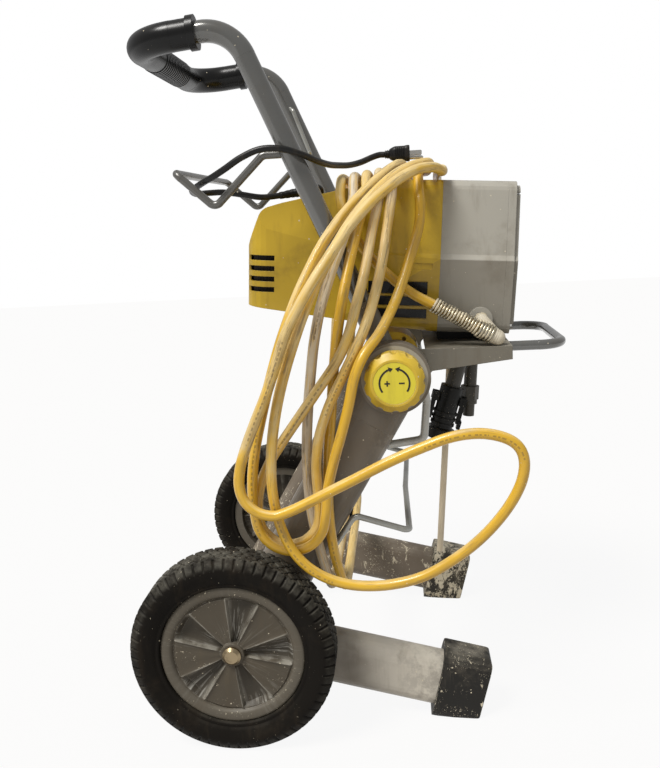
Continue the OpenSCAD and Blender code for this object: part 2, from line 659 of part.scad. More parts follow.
module cover_screws() color(steel) in_body() for (p = screw_spots)
    translate([housing_len + cover_len - 6, p[0], p[1]]) rotate([0, 90, 0]) difference() {
        cylinder(r = 4.6, h = 4);
        translate([0, 0, 2]) cylinder(r = 2.2, h = 3, $fn = 6);
    }

// ---- drive --------------------------------------------------------------------
motor_back = -190;
motor_front = -16;
bearing_r = 13;
rotor_r = motor_r - 12;
module at_shaft(x) in_body() translate([x, 0, shaft_z]) rotate([0, 90, 0]) children();
module at_crank(x) in_body() translate([x, 0, gear_z]) rotate([0, 90, 0]) children();
module motor_can() color(steel) difference() {
    union() {
        at_shaft(motor_back) cylinder(r = motor_r, h = motor_front - motor_back, $fn = 96);
        at_shaft(motor_front - 2) cylinder(r = 30, h = 2 - motor_front);
    }
    at_shaft(motor_back + 6) cylinder(r = motor_r - 7, h = motor_front - motor_back - 12, $fn = 96);
    at_shaft(motor_back - 1) cylinder(r = bearing_r - 5, h = 8);
    at_shaft(motor_front - 7) cylinder(r = bearing_r, h = 30);
}
module motor_bearings() color(steel) for (x = [motor_back + 6, -8]) at_shaft(x) difference() {
    cylinder(r = bearing_r, h = 8);
    translate([0, 0, -1]) cylinder(r = 5 + fit, h = 10);
}
pinion_face = 16;
pinion_teeth = 10;
gear_teeth = 56;
module armature() color([0.70, 0.45, 0.25]) union() {
    at_shaft(motor_back - 26) cylinder(r = 5, h = 26 - motor_back + 26);
    at_shaft(motor_back + 22) cylinder(r = rotor_r, h = 110);
    at_shaft(10) rotate([0, 0, 180 / pinion_teeth]) gear_form(pinion_r, pinion_teeth, pinion_face);
}
// Spur gear with straight teeth cut round its edge
module gear_form(pitch_r, teeth, h) {
    slot = 1.45 * 3.14159 * pitch_r / teeth;
    difference() {
        cylinder(r = pitch_r + 1, h = h, $fn = 96);
        for (i = [0 : teeth - 1]) rotate([0, 0, (i + 0.5) * 360 / teeth])
            translate([pitch_r - 1.2, -slot / 2, -1]) cube([4, slot, h + 2]);
    }
}
fan_blades = 8;
module cooling_fan() color(black) at_shaft(motor_back - 24) difference() {
    union() {
        cylinder(r = 12, h = 16);
        cylinder(r = motor_r - 3, h = 2);
        for (i = [0 : fan_blades - 1]) rotate([0, 0, i * 360 / fan_blades])
            translate([8, -1, 0]) cube([motor_r - 13, 2, 16]);
    }
    translate([0, 0, -1]) cylinder(r = 5, h = 18);
}
module drive_gear() color(steel) at_crank(11) difference() {
    gear_form(gear_r, gear_teeth, 14);
    translate([0, 0, -1]) cylinder(r = 9, h = 16);
    for (a = [0 : 60 : 300]) rotate([0, 0, a]) translate([26, 0, -1]) cylinder(r = 7, h = 16);
}
crank_pin_r = 7;
module crankshaft() color(steel) union() {
    at_crank(0.5) cylinder(r = 9, h = 38);
    at_crank(38) cylinder(r = 22, h = 8);
    at_crank(45.5) translate([crank_throw, 0, 0]) cylinder(r = crank_pin_r, h = 19);
    at_crank(64) cylinder(r = 22, h = 7);
    at_crank(70) cylinder(r = 9, h = housing_len + 6 - 70);
}
rod_len = 62;
rod_x0 = 50;
module connecting_rod() color(steel) at_crank(rod_x0) translate([crank_throw, 0, 0]) difference() {
    union() {
        cylinder(r = 12, h = 12);
        translate([0, -6, 2]) cube([rod_len, 12, 8]);
        translate([rod_len, 0, 0]) cylinder(r = 9, h = 12);
    }
    translate([0, 0, -1]) cylinder(r = crank_pin_r + fit, h = 14);
    translate([rod_len, 0, -1]) cylinder(r = 4, h = 14);
}
rod_low_z = gear_z - crank_throw - rod_len;
fork_half = 26;
piston_top_z = rod_low_z - 34;    // room for the rod's free end to circle above the fork
piston_low_z = -175;
module piston_rod() color(steel) in_body() union() {
    translate([pump_lx, 0, piston_low_z]) cylinder(r = piston_r, h = piston_top_z - piston_low_z);
    translate([pump_lx - 7, -fork_half - 5, piston_top_z - 6]) cube([14, 2 * fork_half + 10, 6]);
    for (y = [-fork_half - 5, fork_half]) translate([pump_lx - 7, y, piston_top_z - 1]) cube([14, 5, 30]);
}

// ---- fluid section ---------------------------------------------------------------
module pump_base() color(black) placed() difference() {
    translate([268, -70, tray_z]) cube([62, 140, 40]);
    translate([split_x, 0, split_z]) rotate([0, body_lean, 0]) translate([-100, -200, -body_down])
        cube([300, 400, 200]);
    along_pump() translate([0, 0, -140]) cylinder(r = 19, h = 80);
}
block_top = -body_down;
block_low = -152;
drain_lx = 27;
drain_y = 24;
inlet_y = -24;
inlet_top = [303.5, inlet_y, 450];
inlet_lean = 17;
module at_inlet(z) placed() translate(inlet_top) rotate([0, inlet_lean, 0]) translate([0, 0, z]) children();
module pump_block() color(grey_paint) difference() {
    union() {
        in_body() translate([pump_lx, 0, block_low]) cylinder(r = 18, h = block_top - block_low);
        in_body() translate([14, inlet_y - 13, block_low]) cube([pump_lx - 14, 13 - inlet_y + 33, 20]);
        at_inlet(-60) cylinder(r = 10.5, h = 66);
    }
    in_body() translate([pump_lx, 0, block_low - 1]) cylinder(r = piston_r + fit, h = 80);
    in_body() translate([drain_lx, drain_y, block_low - 1]) cylinder(r = drain_d / 2, h = 12);
    in_body() translate([pump_lx, 0, block_low - 1]) cylinder(r = 9, h = 28);
}
cyl_low = -206;
module pump_cylinder() color(grey_paint) in_body() translate([pump_lx, 0, 0]) difference() {
    union() {
        translate([0, 0, cyl_low]) cylinder(r = 9, h = block_low - cyl_low + 20);
        translate([0, 0, cyl_low]) cylinder(r = 13, h = 20, $fn = 6);
    }
    translate([0, 0, cyl_low - 1]) cylinder(r = piston_r + fit, h = 90);
}
module foot_valve() color(steel) in_body() translate([pump_lx, 0, 0]) union() {
    translate([0, 0, cyl_low - 24]) cylinder(r = 8, h = 24);
    translate([0, 0, cyl_low - 6]) cylinder(r = 11, h = 6);
    translate([0, 0, cyl_low]) cylinder(r = piston_r - 0.2, h = 8);
}

coupling_r = 15.5;
lever_pin_z = -66;
lever_off = coupling_r + 4;
module coupling_body() color(black) at_inlet(0) difference() {
    union() {
        translate([0, 0, -64]) cylinder(r = coupling_r + 0.5, h = 16);
        translate([0, 0, -108]) cylinder(r = coupling_r, h = 46);
        for (z = [-104, -96, -88]) translate([0, 0, z]) cylinder(r = coupling_r + 1.5, h = 3.5);
        translate([0, 0, -124]) cylinder(r = 20, h = 14);
        for (s = [-1, 1], y = [-9, 5])
            translate([s * lever_off - 5, y, lever_pin_z - 6]) cube([10, 4, 12]);
    }
    translate([0, 0, -48 - 14]) cylinder(r = 10.5, h = 15);
    translate([0, 0, -125]) cylinder(r = 9, h = 40);
    for (s = [-1, 1]) translate([s * (lever_off + 1), 20, lever_pin_z]) rotate([90, 0, 0])
        cylinder(r = 2 + fit, h = 40);
}
module coupling_lever(s) color(black) at_inlet(0) {
    x = s * (lever_off + 1);
    translate([x, 4.7, lever_pin_z]) rotate([90, 0, 0]) cylinder(r = 4, h = 9.4);
    translate([x, 9, lever_pin_z]) rotate([90, 0, 0]) cylinder(r = 2, h = 18);
    translate([x - 3, -4.7, lever_pin_z - 33]) cube([6, 9.4, 33]);
    translate([x + s * 2.5 - 2.5, -6, lever_pin_z - 40]) cube([5, 12, 12]);
}
drain_low = -449;
module drain_tube() color(cream) in_body() translate([drain_lx, drain_y, drain_low]) difference() {
    cylinder(r = drain_d / 2, h = block_low + 11 - drain_low);
    translate([0, 0, -1]) cylinder(r = drain_d / 2 - 1.5, h = block_low + 13 - drain_low);
}

// ---- far side controls -----------------------------------------------------------
pressure_spot = [45, -40];        // along and above the crease line
prime_spot = [45, -78];
switch_spot = [-60, -45];
stem_r = 5;
stem_in = body_half - 9;
module on_far_side(spot, y) in_body() translate([spot[0], y, spot[1]]) rotate([-90, 0, 0]) children();
// Distance from the stem's inner end to just outside the wall, for a knob of radius r
function clear_of_wall(spot, r) = wall_half(spot[1] + r) + 0.5 - stem_in;
module pressure_knob() color(black) on_far_side(pressure_spot, stem_in) {
    cylinder(r = stem_r, h = 14);
    translate([0, 0, clear_of_wall(pressure_spot, 17)]) difference() {
        cylinder(r = 17, h = 14);
        for (a = [0 : 30 : 330]) rotate([0, 0, a]) translate([18.5, 0, 3]) cylinder(r = 3, h = 14);
    }
}
module prime_knob() color(black) on_far_side(prime_spot, stem_in) {
    cylinder(r = stem_r, h = 14);
    translate([0, 0, clear_of_wall(prime_spot, 15)]) cylinder(r = 9, h = 10);
    translate([-15, -4, clear_of_wall(prime_spot, 15)]) cube([30, 8, 10]);
}
// Rocker on two small pins in the shroud's wall
rocker = [22, 14];
rocker_pin_y = body_half - 2.7 - 1.5;
module power_switch() color(black) in_body() translate([switch_spot[0], rocker_pin_y, switch_spot[1]]) {
    translate([-rocker[0] / 2, -4, -rocker[1] / 2]) cube([rocker[0], 9, rocker[1]]);
    translate([-rocker[0] / 2 - 3, 0, 0]) rotate([0, 90, 0]) cylinder(r = 0.9, h = rocker[0] + 6);
}

// ---- hose ------------------------------------------------------------------------
// All stations are centre points measured from the axle, the middle plane and the floor.
elbow = [339, -140, 488];
hose_out = unit([-0.868, 0, 0.496]);
ferrule_from = 3;
ferrule_to = 24;
guard_end = 92;
hose_from = [for (s = [ferrule_to + fit, 50, guard_end]) elbow + hose_out * s];
// Height of the shroud's roof over x, and a crossing of it; way 1 runs from the near side
function roof(x) = x > 225 ? 687 - (x - 225) * 0.06 : 687 - (225 - x) * 0.11;
over_rise = [[-118, -14], [-98, 6], [-70, 13], [-35, 15], [0, 15], [35, 15], [70, 13], [98, 6], [118, -14]];
function over(x, way) = [
    for (k = [0 : 8]) let (o = over_rise[way > 0 ? k : 8 - k]) [x, o[0], roof(x) + o[1]]];
// A loop hanging on the far side in layer y between roof crossings x0 and x1
hang_w = 84;
function hang(xc, y, z, x0, x1) =
    let (r = hang_w / 2, way = x1 > x0 ? 1 : -1, yt = 122 + (y - 127) * 0.75)
    let (low = [for (a = [180 : 30 : 360]) [xc + way * r * cos(a), y, z + r * sin(a)]])
    concat([[(x0 + low[0][0]) / 2, yt, z + 33]], low, [[(x1 + low[6][0]) / 2, yt, z + 33]]);
// From the spring guard up to the roof, inside the handle tube
rise_points = [
    [238, -139, 546], [215, -136, 564], [193, -132, 586], [174, -129, 610], [159, -127, 636]];
// Near side, second layer: down, round and up again
inner_turn = [
    [213, -132, 653], [209, -138, 630], [203, -154, 598], [196, -172, 568], [188, -190, 541],
    [178, -208, 515], [165, -218, 488], [148, -218, 456], [132, -218, 425], [119, -218, 390],
    [113, -218, 355], [113, -218, 322], [113, -218, 291], [108, -218, 272], [94, -218, 258],
    [75.5, -218, 253], [57, -218, 258], [43, -218, 272], [38, -218, 291], [41, -218, 322],
    [54, -218, 354], [74, -218, 384], [97, -218, 415], [121, -218, 447], [145, -218, 480],
    [160, -213, 511], [169, -197, 541], [177, -177, 568], [184, -157, 598], [191, -140, 630],
    [197, -133, 653]];
// Near side, third layer: down past the knob, round and up again
outer_turn = [
    [250, -129, 653], [247, -131, 627], [236, -143, 594], [224, -161, 562], [211, -180, 534],
    [195, -205, 508], [177, -225, 487], [165, -232, 462], [157, -232, 430], [147, -232, 396],
    [136, -232, 362], [127, -232, 328], [122, -232, 293], [116, -232, 272], [101, -232, 256],
    [79.5, -232, 250], [58, -232, 256], [43, -232, 272], [37, -232, 294], [36, -232, 335],
    [42, -232, 376], [52, -232, 415], [64, -232, 455], [78, -232, 497], [91, -230, 530],
    [104, -223, 560], [117, -211, 586], [131, -198, 611], [147, -183, 634], [165, -166, 655],
    [185, -147, 675], [205, -130, 692], [221, -108, 703], [229, -78, 706]];
// Down the near side, across in front of the legs and up the far side
front_wrap = [
    [180, -136, 653], [173, -149, 631], [165, -171, 601], [158, -187, 571], [151, -200, 538],
    [144, -204, 500], [138, -204, 458], [133, -204, 412], [127, -204, 365], [124, -204, 318],
    [124, -204, 272], [128, -204, 232], [134, -197, 200], [136, -174, 178], [136, -135, 168],
    [136, -70, 165], [136, 0, 165], [136, 70, 165], [136, 135, 168], [136, 174, 178], [134, 197, 200],
    [128, 204, 232], [124, 204, 272], [124, 204, 318], [127, 204, 365], [133, 204, 412],
    [138, 204, 458], [142, 203, 500], [144, 200, 540], [147, 193, 576], [153, 182, 611],
    [162, 160, 636], [166, 137, 657]];
// The same behind it, climbing over everything on the far side
rear_wrap = [
    [166, -137, 657], [162, -160, 636], [153, -182, 611], [140, -194, 578], [128, -203, 543],
    [118, -204, 503], [111, -204, 460], [105, -204, 415], [101, -204, 370], [100, -204, 325],
    [103, -204, 280], [110, -204, 238], [117, -196, 203], [119, -174, 180], [119, -135, 171],
    [119, -70, 168], [119, 0, 168], [119, 70, 168], [119, 135, 171], [119, 174, 180], [117, 196, 203],
    [110, 204, 238], [103, 204, 280], [100, 204, 325], [101, 204, 370], [105, 204, 415],
    [110, 204, 460], [114, 207, 503], [120, 215, 540], [135, 221, 580], [157, 213, 618],
    [186, 196, 652], [215, 172, 679], [240, 143, 696], [258, 115, 702]];
// Last crossing of the roof
last_over = [
    [264, 86, 702], [265, 45, 701], [265, 0, 701], [265, -45, 702], [264, -84, 705]];
// Outermost strand down the near side
last_down = [
    [257, -112, 704], [241, -133, 700], [220, -152, 690], [198, -172, 672], [176, -192, 649],
    [157, -210, 623], [141, -225, 597], [125, -238, 568], [111, -245, 538], [98, -246, 506],
    [85, -246, 470], [74, -246, 432], [66, -246, 392], [62, -246, 350]];
// Loose loop in front of the foot, back across the bundle and round its rear edge
loose_loop = [
    [64, -246, 312], [71, -246, 281], [83, -246, 254], [101, -246, 233], [126, -246, 218],
    [158, -246, 210], [197, -247, 211], [237, -249, 222], [276, -252, 246], [308, -255, 274],
    [334, -257, 306], [350, -259, 337], [354, -260, 363], [347, -261, 382], [330, -261, 393],
    [304, -261, 398], [274, -261, 395], [241, -261, 384], [202, -261, 368], [161, -261, 348],
    [128, -261, 332], [99, -261, 318], [80, -261, 310], [64, -261, 306], [45, -261, 311],
    [31, -261, 325], [26, -261, 344], [29, -261, 366]];
// Last strand, up over the outside, across the roof beside the others and down to its end
last_up = [
    [37, -261, 389], [50, -261, 419], [65, -261, 451], [79, -261, 486], [93, -261, 521],
    [109, -260, 550], [127, -254, 578], [146, -240, 605], [165, -223, 631], [185, -206, 653],
    [207, -187, 672], [229, -166, 687], [249, -144, 696], [268, -120, 698], [279, -98, 694],
    [281, -70, 697], [281, -35, 698.6], [281, 0, 698.6], [281, 35, 698.6], [281, 70, 696.6],
    [282, 98, 690], [285, 121, 674], [288, 137, 652], [291, 150, 626], [291, 162, 600]];
hose_hangs = unit([0, 0.42, -0.91]);     // heading at its free end
hose_start = concat(hose_from, rise_points);
hose_wound = concat(over(152, 1), hang(184, 127, 612, 152, 216), over(216, -1), inner_turn, over(200, 1),
    hang(228, 157, 604, 200, 249), over(249, -1), outer_turn, [[232, -40, roof(232) + 17]],
    [for (k = [4 : 8]) over(232, 1)[k]], hang(216, 142, 606, 232, 184), over(184, -1), front_wrap,
    over(168, -1), rear_wrap, last_over, last_down);
hose_route = concat(hose_start, hose_wound, loose_loop, last_up);
hose_q = smooth(hose_route, 2);
hose_t = squared(headings(hose_q), hose_out, hose_hangs);
hose_n = carried(hose_t, [0, 1, 0]);
wound_a = 2 * len(hose_start);
wound_b = 2 * (len(hose_start) + len(hose_wound) - 1);
module hose_part(a, b, sides) color(yellow) placed()
    swept(part_of(hose_q, a, b), part_of(hose_t, a, b), part_of(hose_n, a, b), hose_d / 2, sides);
module hose_run() hose_part(0, wound_a, 8);
module hose_loops() hose_part(wound_a, wound_b, 6);
module hose_tail() hose_part(wound_b, len(hose_q) - 1, 6);
echo(least_hose_gap = least_gap(hose_q, hose_d, 6));  // hose_loops

module outlet_fitting() color(steel) placed() {
    boss = [outlet_x, -body_half - 2, outlet_z];
    knee = boss - [0, 7.3, 0];
    bar(boss, knee, 9);
    translate(knee) sphere(r = 7);
    bar(knee, elbow, 5.2);
    translate(elbow) sphere(r = 7.5);
    bar(elbow, elbow + hose_out * ferrule_to, 6);
    bar(elbow + hose_out * ferrule_from, elbow + hose_out * ferrule_to, 8.8);
}
// Coiled wire guard round the hose where it leaves the machine
guard_wire = 1.5;
guard_r = 8.4;
guard_len = guard_end - ferrule_to;
guard_side = cross(hose_out, [0, 1, 0]);
guard_ends = 2 * guard_wire;
guard_q = let (o = elbow + hose_out * ferrule_to, steps = guard_coils * 8, run = guard_len - 2 * guard_ends) [
    o + guard_side * guard_r,
    for (i = [0 : steps]) o + hose_out * (guard_ends + run * i / steps)
        + guard_r * (cos(45 * i) * guard_side + sin(45 * i) * [0, 1, 0]),
    o + guard_side * guard_r + hose_out * guard_len];
module spring_guard() color([0.78, 0.74, 0.60]) placed() {
    t = headings(guard_q);
    swept(guard_q, t, carried(t, hose_out + guard_side), guard_wire, 6);
}
echo(least_guard_gap = least_gap(guard_q, 2 * guard_wire, 6));  // spring_guard

// Swivel nut and spigot on the hose's loose end
hose_tip = hose_route[len(hose_route) - 1];
module hose_end() color([0.80, 0.78, 0.70]) placed() translate(hose_tip)
    rotate([180 + atan2(hose_hangs[1], -hose_hangs[2]), 0, 0]) {
    cylinder(r = 8.2, h = 20);
    translate([0, 0, 20]) cylinder(r = 10, h = 10, $fn = 6);
    translate([0, 0, 30]) cylinder(r = end_r, h = end_len);
}
end_r = 6;
end_len = 12;

// ---- mains lead ---------------------------------------------------------------------
lead_points = [
    [208, -20, 723], [200, -20, 723], [190, -24, 720], [176, -38, 714], [162, -60, 710], [150, -86, 709],
    [140, -114, 709], [129, -146, 712], [113, -174, 719], [91, -183, 726], [66, -184, 727],
    [42, -182, 719], [22, -179, 708], [5, -171, 700], [-10, -157, 695], [-25, -137, 690],
    [-36, -112, 687], [-37, -86, 684], [-26, -65, 685], [-7, -57, 685], [16, -55, 681],
    [42, -51, 676], [66, -44, 677], [82, -40, 679], [93, -40, 680]];
lead_q = smooth(lead_points, 2);
module mains_lead() color(black) placed() {
    t = squared(headings(lead_q), [-1, 0, 0], [1, 0, 0]);
    swept(lead_q, t, carried(t, [0, 1, 0]), lead_d / 2, 8);
}
plug_x = lead_points[0][0];
plug_y = lead_points[0][1];
plug_z = lead_points[0][2];
module mains_plug() color(black) placed() translate([plug_x, plug_y, plug_z]) rotate([0, 90, 0]) {
    cylinder(r = 6, h = 7);
    translate([0, 0, 6]) cylinder(r = 11.5, h = 27);
    for (y = [-6.3, 6.3]) translate([-3, y - 0.8, 32]) cube([6, 1.6, 17]);
    translate([-6, 0, 32]) cylinder(r = 2.4, h = 19);
}
gland_x = 116;
gland_r = 9;
gland_y = lead_points[len(lead_points) - 1][1];
module lead_gland() color(black) placed() {
    end = lead_points[len(lead_points) - 1];
    translate([gland_x, gland_y, 668]) cylinder(r = gland_r, h = end[2] - 668);
    translate([gland_x, gland_y, end[2]]) sphere(r = gland_r);
    translate(end) rotate([0, 90, 0]) cylinder(r = 6.5, h = gland_x - end[0]);
}

side_frame(-1);  // side_frame_near
side_frame(1);  // side_frame_far
leg_head(-1);  // leg_head_near
leg_head(1);  // leg_head_far
axle();
pivot_shaft();
pivot_drum();
foot_cap(-1);  // foot_cap_near
foot_cap(1);  // foot_cap_far
pail_bracket();
leg_hooks();
hub_caps();
tyre(-1);  // tyre_near
rim(-1);  // rim_near
tyre(1);  // tyre_far
rim(1);  // rim_far
lock_knob();
knob_dial();
handle_tube();
handle_grip();
cord_rack();
gun_hook();
handle_hub(-1);  // handle_hub_near
handle_hub(1);  // handle_hub_far
tray();
front_loop();
shroud();
label_plates();
gear_housing();
front_cover();
cover_screws();
motor_can();
motor_bearings();
armature();
cooling_fan();
drive_gear();
crankshaft();
connecting_rod();
piston_rod();
pump_base();
pump_block();
pump_cylinder();
foot_valve();
coupling_body();
coupling_lever(1);  // coupling_lever_front
coupling_lever(-1);  // coupling_lever_rear
drain_tube();
pressure_knob();
power_switch();
prime_knob();
outlet_fitting();
spring_guard();
hose_run();
hose_loops();
hose_tail();
hose_end();
mains_lead();
mains_plug();
lead_gland();
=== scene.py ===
# %% [markdown]
# # A paint sprayer on a two-wheeled cart
#
# This lesson dresses a machine whose exact parts already exist. The CAD model gives the
# frames, castings and shafts; here each of them gets its finish, and the pieces that CAD
# keeps plain, such as the hose, the tyres and the rims, are built again in full detail.
# Everything is in metres, with +Z up, +X towards the feet and -Y towards the hose outlet.

# %% Load the fixed frame
import math
import bpy
import bmesh
from mathutils import Vector, Matrix


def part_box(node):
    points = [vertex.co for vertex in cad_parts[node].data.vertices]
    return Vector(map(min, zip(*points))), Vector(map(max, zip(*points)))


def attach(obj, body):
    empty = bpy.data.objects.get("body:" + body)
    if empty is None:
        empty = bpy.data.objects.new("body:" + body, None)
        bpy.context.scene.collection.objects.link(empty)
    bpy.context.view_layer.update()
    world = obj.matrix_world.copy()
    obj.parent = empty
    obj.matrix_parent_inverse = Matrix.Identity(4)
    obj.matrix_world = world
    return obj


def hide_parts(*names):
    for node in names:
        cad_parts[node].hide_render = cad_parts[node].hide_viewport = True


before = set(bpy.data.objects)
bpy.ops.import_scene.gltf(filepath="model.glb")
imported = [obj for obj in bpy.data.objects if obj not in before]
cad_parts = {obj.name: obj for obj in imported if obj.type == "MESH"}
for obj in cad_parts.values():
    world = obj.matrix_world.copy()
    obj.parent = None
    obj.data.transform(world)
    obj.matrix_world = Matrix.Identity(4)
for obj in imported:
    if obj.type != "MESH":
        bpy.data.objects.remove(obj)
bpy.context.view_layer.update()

# %% [markdown]
# ## The camera
#
# A camera can be aimed by eye or solved. This one was solved from the wheels, the floor and
# the handle, so its place and its three turns are plain numbers. Turning them into a matrix
# by hand shows what Blender stores: the camera looks along its own -Z, with +Y up.

# %% Camera
camera_place = Vector((0.0681, -1.1827, 0.6469))
camera_yaw, camera_pitch, camera_roll = -0.091, 0.198, 0.056
camera_lens = 39.25

forward = Vector((math.sin(camera_yaw) * math.cos(camera_pitch),
                  math.cos(camera_yaw) * math.cos(camera_pitch), -math.sin(camera_pitch)))
level = Vector((math.cos(camera_yaw), -math.sin(camera_yaw), 0.0))
down = forward.cross(level)
across = math.cos(camera_roll) * level + math.sin(camera_roll) * down
below = math.cos(camera_roll) * down - math.sin(camera_roll) * level
eye = bpy.data.objects.new("camera", bpy.data.cameras.new("camera"))
eye.data.lens = camera_lens
eye.data.clip_start, eye.data.clip_end = 0.05, 30.0
turned = Matrix((across, -below, -forward)).transposed().to_4x4()
turned.translation = camera_place
eye.matrix_world = turned
bpy.context.scene.collection.objects.link(eye)
bpy.context.scene.camera = eye
bpy.context.scene.view_settings.view_transform = "Standard"
print("camera at", tuple(round(x, 3) for x in eye.location))

# %% [markdown]
# ## Floor and light
#
# A white sweep is common for pictures of machines. It needs no lamp of its own: the floor
# adds a white glow for camera and mirror rays only, so it looks white, yet it still takes
# the shadow and lights the machine no more than a pale floor would. A node tree is wired
# by naming each node's inputs, so three short functions do it for every tree here.

# %% Node wiring
def put(socket, value):
    """Links a node's output to a socket, or sets a plain value on it."""
    if hasattr(value, "is_output"):
        socket.id_data.links.new(value, socket)
    elif socket.type == "RGBA":
        socket.default_value = (*value, 1.0)
    else:
        socket.default_value = value


def feed(node, *values, **named):
    """Puts values on a node's inputs, by their order or by their names."""
    for socket, value in zip(node.inputs, values):
        put(socket, value)
    for key, value in named.items():
        put(node.inputs[key.replace("_", " ")], value)
    return node


def cleared(owner):
    """The emptied node tree of a material or a world."""
    owner.use_nodes = True
    owner.node_tree.nodes.clear()
    return owner.node_tree


print("wiring ready")

# %% Floor
floor_mesh = bpy.data.meshes.new("studio_floor")
floor_mesh.from_pydata([(-6, -6, 0), (6, -6, 0), (6, 6, 0), (-6, 6, 0)], [], [(0, 1, 2, 3)])
floor = bpy.data.objects.new("studio_floor", floor_mesh)
bpy.context.scene.collection.objects.link(floor)
floor_look = bpy.data.materials.new("studio_floor")
tree = cleared(floor_look)
rays = tree.nodes.new("ShaderNodeLightPath").outputs
seen, part_glow = tree.nodes.new("ShaderNodeMath"), tree.nodes.new("ShaderNodeMath")
seen.operation, part_glow.operation = "MAXIMUM", "MULTIPLY"
feed(seen, rays["Is Camera Ray"], rays["Is Glossy Ray"])
feed(part_glow, seen.outputs[0], 0.92)
matt = feed(tree.nodes.new("ShaderNodeBsdfDiffuse"), Color=(0.50, 0.47, 0.43))
glow = feed(tree.nodes.new("ShaderNodeEmission"), Strength=1.0)
mixed = feed(tree.nodes.new("ShaderNodeMixShader"), part_glow.outputs[0], matt.outputs[0], glow.outputs[0])
feed(tree.nodes.new("ShaderNodeOutputMaterial"), Surface=mixed.outputs[0])
floor_mesh.materials.append(floor_look)
print("floor ready")

# %% World and lamp
world = bpy.data.worlds.new("studio")
bpy.context.scene.world = world
tree = cleared(world)
soft = feed(tree.nodes.new("ShaderNodeBackground"), Color=(1.0, 1.0, 1.0), Strength=0.46)
white = feed(tree.nodes.new("ShaderNodeBackground"), Color=(1.0, 1.0, 1.0), Strength=1.0)
rays = tree.nodes.new("ShaderNodeLightPath").outputs
mixed = feed(tree.nodes.new("ShaderNodeMixShader"), rays["Is Camera Ray"], soft.outputs[0], white.outputs[0])
feed(tree.nodes.new("ShaderNodeOutputWorld"), Surface=mixed.outputs[0])
lamp = bpy.data.objects.new("soft_lamp", bpy.data.lights.new("soft_lamp", "SUN"))
lamp.data.energy = 3.3
lamp.data.angle = math.radians(20)
lamp.data.color = (1.0, 0.98, 0.95)
lamp.rotation_euler = (math.radians(31), math.radians(-10), math.radians(-30))
bpy.context.scene.collection.objects.link(lamp)
print("lamp energy", lamp.data.energy)

# %% [markdown]
# ## Helpers for shapes
#
# Most pieces here are lofts: rings of points along a path, joined by quads. One function
# builds such a skin, and one turns points and faces into an object that rides on a body.
# Lists of stations are in millimetres from the axle, as on a drawing, and `at()` moves
# them into the frame of the CAD model.

# %% Shape helpers
MID_X = 0.155          # the model's origin is this far ahead of the axle


def at(x, y, z):
    return Vector((x / 1000 - MID_X, y / 1000, z / 1000))


def smooth_path(stations, steps):
    """Points on a smooth curve through the stations."""
    p = [Vector(s) for s in stations]
    p = [2 * p[0] - p[1]] + p + [2 * p[-1] - p[-2]]
    out = []
    for i in range(1, len(p) - 2):
        a, b, c, d = p[i - 1:i + 3]
        for k in range(steps):
            t = k / steps
            out.append(0.5 * (2 * b + (c - a) * t + (2 * a - 5 * b + 4 * c - d) * t * t
                              + (3 * b - a - 3 * c + d) * t ** 3))
    out.append(p[-2].copy())
    return out


def path_length(points):
    return sum((b - a).length for a, b in zip(points, points[1:]))


def carried_frames(points, first_side, start=None, end=None):
    """Headings and untwisted side directions along a path."""
    last = len(points) - 1
    heads = [(points[min(i + 1, last)] - points[max(i - 1, 0)]).normalized() for i in range(last + 1)]
    if start is not None:
        heads[0] = Vector(start).normalized()
    if end is not None:
        heads[-1] = Vector(end).normalized()
    sides, side = [], Vector(first_side)
    for h in heads:
        side = (side - h * side.dot(h)).normalized()
        sides.append(side)
    return heads, sides


def make_piece(name, points, faces, body, material, smooth=True):
    mesh = bpy.data.meshes.new(name)
    mesh.from_pydata([tuple(p) for p in points], [], faces)
    mesh.validate()
    mesh.polygons.foreach_set("use_smooth", [smooth] * len(mesh.polygons))
    mesh.materials.append(material)
    piece = bpy.data.objects.new(name, mesh)
    bpy.context.scene.collection.objects.link(piece)
    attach(piece, body)
    return piece


def ring_faces(rings, sides, first=0, capped=True, looped=False):
    """Quads between neighbouring rings of points, with a cap on each end or joined in a loop."""
    faces = []
    for i in range(rings if looped else rings - 1):
        here, there = first + i * sides, first + (i + 1) % rings * sides
        for k in range(sides):
            m = (k + 1) % sides
            faces.append((here + k, here + m, there + m, there + k))
    if capped:
        faces.append(tuple(first + k for k in reversed(range(sides))))
        faces.append(tuple(first + (rings - 1) * sides + k for k in range(sides)))
    return faces


def tube_skin(points, frames, radius, sides, bulge=None):
    """Rings of points round a path, with capped ends."""
    skin = []
    for i, (p, h, n) in enumerate(zip(points, *frames)):
        b = h.cross(n)
        r = radius if bulge is None else radius * bulge(i)
        for k in range(sides):
            a = 2 * math.pi * k / sides
            skin.append(p + r * (math.cos(a) * n + math.sin(a) * b))
    return skin, ring_faces(len(points), sides)


def carry(piece, name, values, kind="FLOAT"):
    """Gives every point of a piece a value or a vector that its finish can read."""
    layer = piece.data.attributes.new(name, kind, "POINT").data
    layer.foreach_set("value" if kind == "FLOAT" else "vector", values)


def turned_out(piece, sharp=None):
    """Faces look outwards, and edges that bend by more than `sharp` degrees stay sharp."""
    b = bmesh.new()
    b.from_mesh(piece.data)
    bmesh.ops.recalc_face_normals(b, faces=b.faces)
    for e in b.edges if sharp else ():
        e.smooth = not (len(e.link_faces) == 2 and e.calc_face_angle(0.0) > math.radians(sharp))
    b.to_mesh(piece.data)
    b.free()
    return piece


print("helpers ready; the axle stands at", tuple(round(x, 3) for x in at(0, 0, 127)))

